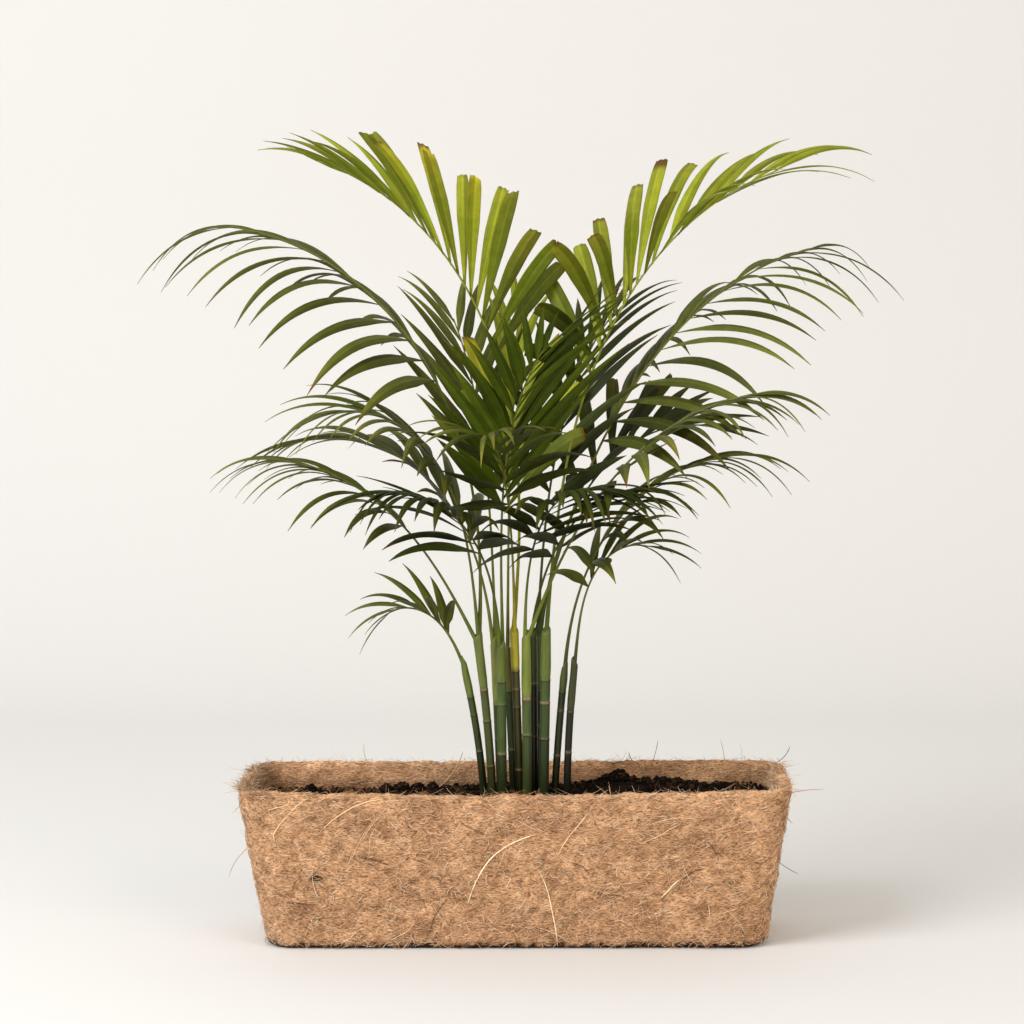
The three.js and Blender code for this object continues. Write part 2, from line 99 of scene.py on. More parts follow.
# cane and seat: where the stalk leaves; azimuth + sway: its heading; lean + bend: its tilt
# arch: how late it bends; bare: share without leaflets; lift: rise of the rows into a V
# open, close: leaflet angle at the first and last pair; slat: turn about the blade's length
FRONDS = [
    dict(YOUNG, cane="d", seat=120, azimuth=180, sway=5, lean=-5, bend=76, arch=1.8, length=605,
         bare=0.5, pairs=11, blade=170, width=18, taper=0.45, open=55, close=5, lift=60, level=5,
         twist=-10, droop=0.5),
    dict(YOUNG, cane="f", seat=0, azimuth=0, lean=5, bend=66, arch=2, length=600, bare=0.45,
         pairs=12, blade=165, taper=0.25, open=60, close=24, skew=-12, level=4, twist=20,
         droop=0.6),
    dict(OLD, cane="c", seat=30, azimuth=276, sway=30, lean=-11, bend=62, arch=1.2, length=370,
         bare=0.42, pairs=14, blade=176, width=19, taper=0.45, open=42, close=24, skew=-4, lift=4,
         level=4, droop=0.25, slat=18, uneven=0.14, hue="fresh"),
    dict(LONG, cane="b", seat=60, azimuth=180, sway=5, lean=-3, bend=84, arch=1.5, length=580,
         bare=0.47, pairs=12, blade=185, close=26, skew=22, roll=-15, droop=1.35),
    dict(LONG, cane="k", seat=15, azimuth=13, lean=16, bend=61, arch=1.9, length=560, bare=0.4,
         pairs=14, blade=180, close=28, skew=-20, roll=15, droop=1.2),
    dict(LOW, cane="b", seat=180, azimuth=188, lean=26, bend=56, arch=1.8, length=300, bare=0.46,
         pairs=10, blade=140, width=14, skew=14, roll=-8, droop=1.1),
    dict(LOW, cane="b", seat=300, azimuth=200, lean=5, bend=90, arch=2.4, length=330, bare=0.5,
         pairs=10, blade=150, skew=14, roll=-8, droop=1.1),
    dict(LOW, cane="g", seat=0, azimuth=-13, lean=6, bend=78, arch=1.4, length=330, bare=0.36,
         pairs=9, blade=130, width=14, skew=-14, roll=12, droop=1.2),
    dict(LOW, cane="e", seat=50, azimuth=-25, lean=23, bend=57, arch=1.7, length=395, bare=0.5,
         pairs=10, blade=140, skew=-14, roll=10, droop=1.1),
    dict(SMALL, cane="h", seat=0, azimuth=-18, lean=6, bend=98, arch=2.6, length=180, bare=0.48,
         blade=105, width=13, open=56, skew=-14, roll=10, droop=0.9),
    dict(SMALL, cane="a", seat=210, azimuth=195, lean=22, bend=96, arch=2, length=118, bare=0.3,
         blade=85, width=12, open=46, skew=14, roll=-8, droop=0.8),
    dict(OLD, cane="i", seat=50, azimuth=116, lean=3, bend=42, arch=2, length=385, bare=0.42,
         pairs=8, blade=150, width=22, open=42, close=14, lift=10, level=0, droop=0.4, slat=10),
    dict(OLD, cane="j", seat=130, azimuth=50, lean=5, bend=48, arch=2, length=400, bare=0.36,
         pairs=9, blade=155, width=21, lift=8, level=0, droop=0.5, slat=10, hue="shaded"),
    dict(YOUNG, cane="l", seat=0, azimuth=84, lean=5, bend=34, arch=2, length=390, bare=0.4,
         pairs=6, blade=140, width=22, open=36, lift=15, level=5, slat=10),
    dict(OLD, cane="i", seat=230, azimuth=170, lean=6, bend=86, arch=1.6, length=325, bare=0.34,
         pairs=8, blade=160),
    dict(OLD, cane="j", seat=310, azimuth=30, lean=9, bend=92, arch=1.6, length=360, bare=0.42,
         pairs=8, blade=125, width=20, open=64, lift=66, level=16, droop=0.35, blunt=0.5,
         hue="shaded"),
    dict(MIDDLE, cane="c", seat=210, azimuth=240, sway=-25, lean=4, bend=84, length=265,
         bare=0.42, pairs=12, blade=130, open=66, skew=5),
    dict(MIDDLE, cane="e", seat=230, azimuth=280, sway=30, lean=6, bend=78, length=250,
         bare=0.42, pairs=10, blade=135, open=62),
    dict(MIDDLE, cane="k", seat=195, azimuth=310, sway=10, lean=12, bend=70, length=250,
         bare=0.38, pairs=9, blade=125, open=64, skew=-5),
    dict(OLD, cane="d", seat=300, azimuth=258, lean=4, bend=86, arch=2.2, length=290, bare=0.5,
         pairs=8, blade=135, open=66, lift=4, droop=0.8),
]
SCATTER = dict(open=4, lift=6, length=0.08, droop=0.25)


# ---- Small helpers --------------------------------------------------------------------------
def rad(degrees):
    return math.radians(degrees)


def lerp(a, b, share):
    return a + (b - a) * share


def clamp(v):
    """v kept between 0 and 1."""
    return np.clip(v, 0, 1)


def bell(x):
    """1 where x is 0, falling off smoothly to both sides."""
    return np.exp(-(x**2))


def unit(v):
    return v / np.maximum(np.linalg.norm(v, axis=-1, keepdims=True), 1e-12)


def draw(n):
    """A repeatable draw between -1 and 1 for a whole number."""
    x = math.sin(n) * 43758.5453
    return 2 * (x - math.floor(x)) - 1


def turned(v, axis, angle):
    """v turned about a unit axis."""
    return (
        v * math.cos(angle)
        + np.cross(axis, v) * math.sin(angle)
        + axis * np.dot(axis, v) * (1 - math.cos(angle))
    )


def noise(points, size, seed=0):
    """Smooth noise between -1 and 1 in space, with lumps of about that size."""
    p = np.asarray(points, float) / size + seed * 17.17
    cell = np.floor(p)
    f = p - cell
    f = f * f * (3 - 2 * f)
    total = np.zeros(len(p))
    for corner in np.ndindex(2, 2, 2):
        c = cell + corner
        h = np.sin(c @ np.array([12.9898, 78.233, 37.719])) * 43758.5453
        weight = np.prod(np.where(np.array(corner) == 1, f, 1 - f), axis=1)
        total += (h - np.floor(h)) * weight
    return 2 * total - 1


def smooth_line(points, count):
    """Points evenly spread along a smooth curve through the given ones."""
    p = np.vstack([2 * points[0] - points[1], points, 2 * points[-1] - points[-2]])
    at = np.linspace(0, len(points) - 1 - 1e-9, count)
    i = at.astype(int)
    f = (at - i)[:, None]
    a, b, c, d = p[i], p[i + 1], p[i + 2], p[i + 3]
    return b + 0.5 * f * (
        c - a + f * (2 * a - 5 * b + 4 * c - d + f * (3 * (b - c) + d - a))
    )


# ---- Meshes ---------------------------------------------------------------------------------
def piece(name, points, faces, material, replaces, tint, leaf=None):
    """A smooth-shaded mesh that rides on the plant; faces is a list of arrays of indices."""
    mesh = bpy.data.meshes.new(name)
    points = np.asarray(points, float)
    mesh.vertices.add(len(points))
    mesh.vertices.foreach_set("co", (points * METRE).ravel())
    loops = np.concatenate([np.asarray(f).ravel() for f in faces])
    sizes = np.concatenate([np.full(len(f), np.asarray(f).shape[1]) for f in faces])
    starts = np.concatenate([[0], np.cumsum(sizes)[:-1]])
    mesh.loops.add(len(loops))
    mesh.loops.foreach_set("vertex_index", loops)
    mesh.polygons.add(len(sizes))
    mesh.polygons.foreach_set("loop_start", starts)
    mesh.polygons.foreach_set("use_smooth", np.ones(len(sizes), bool))
    mesh.update(calc_edges=True)
    colour = np.ones((len(points), 4))
    colour[:, :3] = tint
    attribute = mesh.attributes.new("tint", "FLOAT_COLOR", "POINT")
    attribute.data.foreach_set("color", colour.ravel())
    if leaf is not None:
        attribute = mesh.attributes.new("leaf", "FLOAT_VECTOR", "POINT")
        attribute.data.foreach_set("vector", np.asarray(leaf, float).ravel())
    mesh.materials.append(material)
    made = bpy.data.objects.new(name, mesh)
    bpy.context.scene.collection.objects.link(made)
    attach(made, "root")
    if replaces:
        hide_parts(*replaces)
    return made


def grid_faces(rows, columns, wrap):
    """Quads of a grid of points, row by row; wrap joins the last column to the first."""
    across = columns if wrap else columns - 1
    r, c = np.meshgrid(np.arange(rows - 1), np.arange(across), indexing="ij")
    n = (c + 1) % columns
    a, b = r * columns + c, r * columns + n
    return np.stack([a, b, b + columns, a + columns], -1).reshape(-1, 4)


def capped(rows, low, high):
    """Rings of points as one closed skin with a middle point at each end: points and faces."""
    around = len(rows[0])
    ring = np.arange(around)
    after = np.roll(ring, -1)
    first = len(rows) * around
    last_ring = first - around
    fans = np.concatenate([
        np.stack([np.full(around, first), after, ring], -1),
        np.stack([np.full(around, first + 1), last_ring + ring, last_ring + after], -1),
    ])
    return np.vstack([*rows, low, high]), [grid_faces(len(rows), around, True), fans]


def tubes(lines, radii, sides):
    """Round rods along many lines of equal length: points, quads and end faces."""
    lines = np.asarray(lines, float)
    many, steps, _ = lines.shape
    along = unit(np.gradient(lines, axis=1))
    across = np.empty_like(along)
    first = along[:, 0]
    pick = np.where(np.abs(first[:, 2:3]) < 0.9, [[0.0, 0.0, 1.0]], [[1.0, 0.0, 0.0]])
    across[:, 0] = unit(np.cross(pick, first))
    for k in range(1, steps):
        kept = across[:, k - 1]
        kept = kept - along[:, k] * np.sum(kept * along[:, k], -1, keepdims=True)
        across[:, k] = unit(kept)
    up = np.cross(along, across)
    turn = 2 * np.pi * np.arange(sides) / sides
    ring = (
        across[:, :, None] * np.cos(turn)[:, None] + up[:, :, None] * np.sin(turn)[:, None]
    )
    points = lines[:, :, None] + ring * np.asarray(radii)[:, :, None, None]
    quads = grid_faces(steps, sides, True)
    base = np.arange(many)[:, None, None] * steps * sides
    ends = np.array([np.arange(sides)[::-1], (steps - 1) * sides + np.arange(sides)])
    return (
        points.reshape(-1, 3),
        (base + quads).reshape(-1, 4),
        (base + ends).reshape(-1, sides),
    )


class Pile:
    """Gathers the points, faces and colours of many small shapes into one mesh."""

    def __init__(self):
        self.points, self.faces, self.tint, self.leaf, self.count = [], [], [], [], 0

    def add(self, points, faces, tint, leaf=None):
        self.points.append(points)
        self.faces.extend(np.asarray(f) + self.count for f in faces)
        self.tint.append(np.broadcast_to(tint, (len(points), 3)))
        self.leaf.append(np.zeros((len(points), 3)) if leaf is None else leaf)
        self.count += len(points)

    def piece(self, name, material, slot, replaces=()):
        return piece(
            name,
            np.concatenate(self.points),
            self.faces,
            material,
            replaces,
            np.concatenate(self.tint),
            np.concatenate(self.leaf),
        )


# ---- Materials ------------------------------------------------------------------------------
def linear(red, green, blue):
    """An sRGB colour, 0 to 255, as linear values."""
    c = np.array([red, green, blue]) / 255
    return np.where(c <= 0.04045, c / 12.92, ((c + 0.055) / 1.055) ** 2.4)


def shades(*colours):
    return [linear(*colour) for colour in colours]


class Nodes:
    """Short names for building a material's nodes."""

    def __init__(self, name, roughness, specular):
        self.material = bpy.data.materials.new(name)
        self.material.use_nodes = True
        self.tree = self.material.node_tree
        self.shader = self.tree.nodes["Principled BSDF"]
        self.shader.inputs["Roughness"].default_value = roughness
        self.shader.inputs["Specular IOR Level"].default_value = specular

    def new(self, kind, **settings):
        node = self.tree.nodes.new(kind)
        for key, value in settings.items():
            setattr(node, key, value)
        return node

    def feed(self, value, socket):
        """Sets a socket to a number, or links another node's output to it."""
        if isinstance(value, (int, float)):
            socket.default_value = value
        else:
            self.tree.links.new(value, socket)

    def attribute(self, name, kind="Color"):
        return self.new("ShaderNodeAttribute", attribute_name=name).outputs[kind]

    def here(self):
        return self.new("ShaderNodeTexCoord").outputs["Object"]

    def stretched(self, scale, place):
        node = self.new("ShaderNodeMapping")
        node.inputs["Scale"].default_value = scale
        self.feed(place, node.inputs["Vector"])
        return node.outputs["Vector"]

    def texture(self, scale, detail, place):
        node = self.new("ShaderNodeTexNoise")
        node.inputs["Scale"].default_value = scale
        node.inputs["Detail"].default_value = detail
        self.feed(place, node.inputs["Vector"])
        return node.outputs["Fac"]

    def ramp(self, value, stops):
        node = self.new("ShaderNodeValToRGB")
        ramp = node.color_ramp
        while len(ramp.elements) < len(stops):
            ramp.elements.new(0.5)
        for element, (position, colour) in zip(ramp.elements, stops):
            element.position = position
            element.color = (*colour, 1)
        self.feed(value, node.inputs["Fac"])
        return node.outputs["Color"]

    def multiply(self, first, second):
        node = self.new("ShaderNodeMix", data_type="RGBA", blend_type="MULTIPLY")
        node.inputs["Factor"].default_value = 1
        self.feed(first, node.inputs["A"])
        self.feed(second, node.inputs["B"])
        return node.outputs["Result"]

    def math(self, operation, first, second):
        node = self.new("ShaderNodeMath", operation=operation)
        self.feed(first, node.inputs[0])
        self.feed(second, node.inputs[1])
        return node.outputs["Value"]

    def paint(self, colour):
        self.feed(colour, self.shader.inputs["Base Color"])

    def bump(self, height, strength, distance):
        node = self.new("ShaderNodeBump")
        node.inputs["Strength"].default_value = strength
        node.inputs["Distance"].default_value = distance
        self.feed(height, node.inputs["Height"])
        self.feed(node.outputs["Normal"], self.shader.inputs["Normal"])

    def blend(self, share, second):
        """Gives the surface some share of a second shader."""
        mix = self.new("ShaderNodeMixShader")
        self.feed(share, mix.inputs["Fac"])
        self.feed(self.shader.outputs[0], mix.inputs[1])
        self.feed(second.outputs[0], mix.inputs[2])
        self.feed(mix.outputs[0], self.tree.nodes["Material Output"].inputs["Surface"])


PLAIN = (1.0, 1.0, 1.0)
VEIN_WAVES = 34.0  # radians that the veins' wave runs through from the midrib to the edge
VEIN_DEPTH = 0.1


def leaf_material(name, glow):
    """Ribbed leaf: veins along the blade, mottling, and light shining through."""
    n = Nodes(name, 0.46, 0.2)
    place = n.attribute("leaf", "Vector")
    split = n.new("ShaderNodeSeparateXYZ")
    n.feed(place, split.inputs[0])
    streak = n.texture(1.6, 4, n.stretched((9, 1.2, 40), place))
    wave = n.math("SINE", n.math("MULTIPLY", split.outputs["X"], VEIN_WAVES), 0.0)
    vein = n.math("ADD", n.math("MULTIPLY", wave, VEIN_DEPTH), streak)
    ribbed = n.ramp(vein, [(0.3, (0.72, 0.76, 0.66)), (0.7, (1.06, 1.05, 1.04))])
    mottled = n.ramp(n.texture(90, 3, n.here()), [(0.35, (0.82, 0.84, 0.8)), (0.65, PLAIN)])
    colour = n.multiply(n.multiply(n.attribute("tint"), ribbed), mottled)
    n.paint(colour)
    n.bump(vein, 0.35, 0.0006)
    through = n.new("ShaderNodeBsdfTranslucent")
    n.feed(colour, through.inputs["Color"])
    n.blend(glow, through)
    return n.material


def cane_material():
    """Smooth skin with faint lines along the cane."""
    n = Nodes("cane_skin", 0.36, 0.3)
    streak = n.texture(700, 3, n.stretched((1, 1, 0.06), n.here()))
    lined = n.ramp(streak, [(0.3, (0.7, 0.7, 0.66)), (0.7, PLAIN)])
    n.paint(n.multiply(n.attribute("tint"), lined))
    n.bump(streak, 0.2, 0.0005)
    return n.material


def coir_material():
    """Matted felt: painted shade in the fine gaps between bright fibres, and wider patches."""
    n = Nodes("coir_felt", 0.9, 0.15)
    fine = n.texture(620, 6, n.stretched((0.45, 0.45, 1.3), n.here()))
    # painted shade in the fine gaps between the fibres
    gap_shade_speckle = n.ramp(fine, [
        (0.32, (0.34, 0.28, 0.23)), (0.5, (0.94, 0.92, 0.9)), (0.68, (1.3, 1.28, 1.24)),
    ])
    patches = n.ramp(n.texture(60, 4, n.here()), [(0.35, (0.78, 0.74, 0.7)), (0.65, PLAIN)])
    n.paint(n.multiply(n.multiply(n.attribute("tint"), gap_shade_speckle), patches))
    n.bump(fine, 0.9, 0.0016)
    return n.material


def fibre_material():
    n = Nodes("coir_fibre", 0.6, 0.3)
    n.paint(n.attribute("tint"))
    return n.material


def soil_material():
    """Damp mix: dark, with paler grains."""
    n = Nodes("potting_mix", 0.95, 0.06)
    fine = n.texture(300, 6, n.here())
    grains = n.ramp(fine, [(0.35, (0.35, 0.33, 0.3)), (0.7, (1.3, 1.2, 1.1))])
    n.paint(n.multiply(n.attribute("tint"), grains))
    n.bump(fine, 1.0, 0.003)
    return n.material


LEAF = leaf_material("leaf_skin", 0.3)
YOUNG_LEAF = leaf_material("young_leaf_skin", 0.42)
CANE = cane_material()
FELT = coir_material()
FIBRE = fibre_material()
SOIL = soil_material()


# ---- Fronds ---------------------------------------------------------------------------------
HUES = {  # root, middle and tip of a blade, and its stalk
    "young": shades((172, 174, 52), (154, 162, 42), (176, 176, 58), (168, 174, 70)),
    "fresh": shades((100, 116, 28), (84, 100, 22), (112, 122, 34), (136, 146, 54)),
    "dark": shades((102, 108, 40), (90, 96, 32), (122, 122, 48), (128, 128, 60)),
    # a darker green that stands for painted shade on the fronds inside the clump
    "shaded": shades((64, 72, 14), (52, 60, 10), (78, 84, 20), (100, 106, 40)),
}
DRY = linear(126, 82, 44)
YELLOWED = np.array([1.9, 1.45, 0.9])  # what turning yellow does to a blade's colour
UNDERSIDE = np.array([0.95, 1.0, 1.02])
STALK_POINTS = 73
STALK_SIDES = 10
STALK_TIP = 0.8  # radius
SEAT_GAP = 0.25  # half the gap between stalks that share a mouth


def stalk_radius(frond, u):
    """A stalk is thicker the longer it is, and thins towards its tip."""
    foot = 1.3 + frond["length"] / 900
    return lerp(foot, STALK_TIP, np.minimum(1, u) ** 0.8)


def heading(frond, u):
    tilt = rad(frond["lean"] + frond["bend"] * max(u, 0) ** frond["arch"])
    turn = rad(frond["azimuth"] + frond["sway"] * u)
    return np.array(
        [math.sin(tilt) * math.cos(turn), math.sin(tilt) * math.sin(turn), math.cos(tilt)]
    )


def seat_offset(frond):
    """Stalks that share a mouth stand side by side in it."""
    sharing = sum(other["cane"] == frond["cane"] for other in FRONDS)
    if sharing == 1:
        return 0
    return (stalk_radius(frond, 0) + SEAT_GAP) / math.sin(math.pi / sharing)


def stalk_line(frond):
    """Points along the middle of a stalk, from the mouth of its sheath to its tip."""
    seat = rad(frond["seat"])
    aside = seat_offset(frond) * np.array([math.cos(seat), math.sin(seat), 0])
    line = [np.array(CANES[frond["cane"]]["top"]) + aside]
    for k in range(STALK_STEPS):
        step = heading(frond, (k + 0.5) / STALK_STEPS)
        line.append(line[k] + step * frond["length"] / STALK_STEPS)
    return np.array(line)


def point_along(line, share):
    k = min(share * (len(line) - 1), len(line) - 1 - 1e-9)
    i = int(k)
    return line[i] + (line[i + 1] - line[i]) * (k - i)


def blade_shape(t, blunt):
    """Half width along a blade as a share of its full half width."""
    root = np.minimum(1, (0.14 + 1.5 * t) if blunt else (0.1 + 3.2 * t))
    start = 0.8 if blunt else 0.35
    fall = np.maximum(0, (t - start) / (1 - start))
    return root * (1 - (0.3 * fall**2 if blunt else fall**1.6))


def blade_heading(begin, droop, t):
    """Direction of a blade at one or several places along it."""
    t = np.atleast_1d(t)[:, None]
    return unit(begin - np.array([0, 0, 1]) * droop * t**1.5)


def leaflet(frond, line, order, index, side, attempt):
    """One leaflet for one of several tries: its middle line, facing and width."""
    v = (index + 0.5 + 0.24 * side) / frond["pairs"]
    u = frond["bare"] + (1 - frond["bare"]) * min(v, 0.995)
    seed = order * 613 + index * 29 + (7 if side > 0 else 14) + attempt * 191
    loose = 1 + 0.35 * attempt
    forward = heading(frond, u)
    turn = rad(frond["azimuth"] + frond["sway"] * u)
    flat = np.array([-math.sin(turn), math.cos(turn), 0])
    roll = rad(frond["roll"] + frond["twist"] * v)
    across = turned(flat, forward, roll)
    up = turned(np.cross(forward, flat), forward, roll)
    open_angle = rad(
        lerp(frond["open"] + frond["skew"] * side, frond["close"], v**0.8)
        + SCATTER["open"] * loose * draw(seed)
    )
    lift = rad(lerp(frond["lift"], frond["level"], v) + SCATTER["lift"] * loose * draw(seed + 1))
    short = 1 - 0.07 * max(0, attempt - WHOLE_TRIES)
    size = (1 - frond["taper"] * v * v) * (0.78 + 0.22 * min(1, v / 0.2))
    length = frond["blade"] * size * short * (1 + SCATTER["length"] * draw(seed + 2))
    length *= 1 + frond["uneven"] * side
    droop = (
        frond["droop"] * (0.75 + 0.5 * v) * (1 + SCATTER["droop"] * loose * draw(seed + 3))
    )
    out = across * side * math.cos(lift) + up * math.sin(lift)
    begin = forward * math.cos(open_angle) + out * math.sin(open_angle)
    facing = up * math.cos(lift) - across * side * math.sin(lift)
    facing = turned(facing, begin, side * rad(frond["slat"]))
    middles = (np.arange(BLADE_STEPS) + 0.5) / BLADE_STEPS
    steps = blade_heading(begin, droop, middles) * length / BLADE_STEPS
    foot = point_along(line, u)
    points = np.vstack([foot, foot + np.cumsum(steps, axis=0)])
    width = frond["width"] * (1 - 0.6 * v)
    return dict(begin=begin, droop=droop, facing=facing, points=points, width=width, v=v,
                seed=seed, blunt=v < frond["blunt"])


def kept_leaflets(frond, order, line):
    """The frond's leaflets: of each one's tries, the first that ends at a corner of its solid."""
    corners = NODES[f"frond_{order + 1:02d}"].data.vertices
    tree = kdtree.KDTree(len(corners))
    for i, corner in enumerate(corners):
        tree.insert(corner.co / METRE, i)
    tree.balance()
    kept = []
    for index in range(frond["pairs"]):
        for side in (1, -1):
            for attempt in range(TRIES):
                blade = leaflet(frond, line, order, index, side, attempt)
                if tree.find(blade["points"][-1])[2] < TIP_MATCH:
                    kept.append(blade)
                    break
    return kept


BLADE_ROWS = 18
BLADE_COLUMNS = 9
BLADE_SIZE = BLADE_ROWS * BLADE_COLUMNS
BLADE_THICKNESS = 0.35
BLADE_EDGE = 0.25  # least half width
MIDDLE_STEPS = 100


def blade_surface(blade):
    """Shares along and across a blade, its raised, pleated surface there, and its facing."""
    seed, blunt = blade["seed"], blade["blunt"]
    rows = np.linspace(0, 1, BLADE_ROWS) ** 0.9
    t, s = np.meshgrid(rows, np.linspace(-1, 1, BLADE_COLUMNS), indexing="ij")
    if blunt:
        cut = 0.035 * (1 + draw(seed + 5) * s) + 0.006 * np.sin(7 * s + seed)
        t = t * (1 - cut)
    middle = smooth_line(blade["points"], MIDDLE_STEPS + 1)
    at = np.clip(t * MIDDLE_STEPS, 0, MIDDLE_STEPS - 0.001)
    i = at.astype(int)
    centre = middle[i] + (middle[i + 1] - middle[i]) * (at - i)[..., None]
    ahead = blade_heading(blade["begin"], blade["droop"], t.ravel()).reshape(*t.shape, 3)
    facing = unit(blade["facing"] - ahead * (ahead @ blade["facing"])[..., None])
    half = np.maximum(blade["width"] / 2 * blade_shape(t, blunt), BLADE_EDGE)
    rib = np.maximum(0.6, 0.2 * half) * np.minimum(1, half / 1.5)
    pleat = 0.035 * half * np.cos(3 * np.pi * s) * np.sin(np.pi * clamp(t))
    wave = 0.05 * half * np.sin(11 * t + seed) * np.abs(s) ** 2 * np.sign(s)
    height = rib * (1 - np.abs(s)) ** 1.15 + pleat + wave
    sideways = np.cross(ahead, facing)
    surface = centre + sideways * (half * s)[..., None] + facing * height[..., None]
    return t, s, surface, facing


def blade_rim():
    """The corners round the edge of a blade, in order."""
    return np.concatenate([
        np.arange(BLADE_COLUMNS),
        np.arange(2, BLADE_ROWS + 1) * BLADE_COLUMNS - 1,
        BLADE_SIZE - 2 - np.arange(BLADE_COLUMNS - 1),
        np.arange(BLADE_ROWS - 2, 0, -1) * BLADE_COLUMNS,
    ])


def blade_colour(blade, hue, t, s):
    """Each blade has its own tone, some yellowing, a paler midrib, a dry tip, painted light and
    shade on the two halves of its fold, and painted shade near the stalk on young fronds.
    """
    seed = blade["seed"]
    root, middle, tip, _ = HUES[hue]
    tone = 1 + 0.34 * draw(seed + 6)
    colour = np.where(t < 0.5, lerp(root, middle, t * 2), lerp(middle, tip, t * 2 - 1)) * tone
    if hue == "young":
        # painted shade: on young fronds the leaflets near the stalk's base are darkened toward the
        # fresh green
        base_shade = 0.85 * max(0, 1 - blade["v"] / 0.22)
        colour = lerp(colour, HUES["fresh"][1] * tone, base_shade)
    yellow = max(0.0, draw(seed + 7) - 0.45) * 1.2
    colour = lerp(colour, colour * YELLOWED, yellow * t**2)
    # painted light and shade: one half of the folded blade is lighter, the other darker
    fold_shade = 1 + 0.14 * np.sign(s) * np.sign(draw(seed + 8))
    colour = colour * fold_shade * (1 + 0.35 * bell(s / 0.12))
    dry_from = 0.975 - 0.06 * max(0.0, draw(seed + 9)) - (0.05 if draw(seed + 10) > 0.6 else 0)
    strength = 0.9 if draw(seed + 11) > 0.1 else 0.35
    dry = clamp((t - dry_from) / 0.02) * (strength if blade["blunt"] else 0.7)
    return lerp(colour, DRY, dry)


def blade_mesh(pile, blade, hue):
    """A thin closed blade with a raised midrib, faint pleats and a wavy edge."""
    t, s, surface, facing = blade_surface(blade)
    thick = facing * BLADE_THICKNESS * (1 - 0.6 * np.abs(s))[..., None] / 2
    quads = grid_faces(BLADE_ROWS, BLADE_COLUMNS, False)
    rim = blade_rim()
    after = np.roll(rim, -1)
    t, s = t.ravel(), s.ravel()
    colour = blade_colour(blade, hue, t[:, None], s[:, None])
    place = np.stack([s, t, np.full(BLADE_SIZE, (blade["seed"] % 97) / 97)], -1)
    pile.add(
        np.vstack([(surface + thick).reshape(-1, 3), (surface - thick).reshape(-1, 3)]),
        [quads, quads[:, ::-1] + BLADE_SIZE,
         np.stack([rim, rim + BLADE_SIZE, after + BLADE_SIZE, after], -1)],
        np.vstack([colour, colour * UNDERSIDE]),
        np.vstack([place, place]),
    )


def stalk_mesh(pile, frond, line):
    """The stalk: a little swollen and coloured like the sheath where it leaves it."""
    cane = CANES[frond["cane"]]
    down = np.array(cane["top"]) - cane_at(cane, SOIL_LEVEL)
    foot = line[0] - unit(down) * SOCKET
    curve = np.vstack([foot, smooth_line(line, STALK_POINTS)])
    u = np.concatenate([[0], np.linspace(0, 1, STALK_POINTS)])
    radii = stalk_radius(frond, u) * (1 + 0.45 * bell(u * frond["length"] / 45))
    points, quads, ends = tubes(curve[None], radii[None], STALK_SIDES)
    share = np.repeat(u, STALK_SIDES)[:, None]
    sheath = SKINS[frond["cane"]][1] * 1.15
    tint = lerp(sheath, HUES[frond["hue"]][3], clamp(share / 0.4))
    pile.add(points, [quads, ends], tint * (1 + 0.12 * noise(points, 9)[:, None]))


def cane_at(cane, z):
    """The middle of a cane at some height."""
    share = max(0, z - SOIL_LEVEL) / (cane["top"][2] - SOIL_LEVEL)
    return np.array([
        lerp(cane["foot"][0], cane["top"][0], share) + 4 * cane["bow"] * share * (1 - share),
        lerp(cane["foot"][1], cane["top"][1], share),
        z,
    ])


def fronds():
    for order, frond in enumerate(FRONDS):
        name = f"frond_{order + 1:02d}"
        line = stalk_line(frond)
        pile = Pile()
        stalk_mesh(pile, frond, line)
        for blade in kept_leaflets(frond, order, line):
            blade_mesh(pile, blade, frond["hue"])
        young = frond["hue"] == "young"
        slot = "leaf_young" if young else "leaf_mature"
        pile.piece(name + "_fine", YOUNG_LEAF if young else LEAF, slot, [name])


# ---- Canes ----------------------------------------------------------------------------------
SKINS = {  # colours of each cane's stem and of its sheath
    "a": shades((66, 80, 34), (102, 116, 44)),
    "b": shades((70, 80, 34), (108, 120, 54)),
    "c": shades((68, 86, 36), (96, 110, 40)),
    "d": shades((80, 78, 34), (174, 164, 46)),
    "e": shades((80, 96, 44), (128, 140, 56)),
    "f": shades((66, 84, 38), (102, 116, 50)),
    "g": shades((52, 58, 26), (88, 94, 46)),
    # the near-black stem of h is painted shade
    "h": shades((28, 30, 16), (62, 64, 32)),
    "i": shades((68, 80, 36), (142, 148, 74)),
    "j": shades((30, 36, 18), (74, 86, 38)),
    # the near-black stem of k is painted shade
    "k": shades((32, 38, 18), (70, 84, 34)),
    "l": shades((64, 78, 36), (112, 104, 52)),
}
SCAR = linear(158, 136, 100)
SCAR_DARK = linear(44, 36, 22)
BUD = linear(112, 66, 44)
CANE_SIDES = 24
SHEATH_START = 14  # the sheath widens over this length above the highest ring
TONGUE = 7  # how much higher one side of a sheath's mouth is


def mouth_radius(name, cane):
    """Wide enough for the stalks that stand in the mouth."""
    seated = [frond for frond in FRONDS if frond["cane"] == name]
    reach = [seat_offset(frond) + stalk_radius(frond, 0) + 1.0 for frond in seated]
    return max(reach + [cane["radius"]])


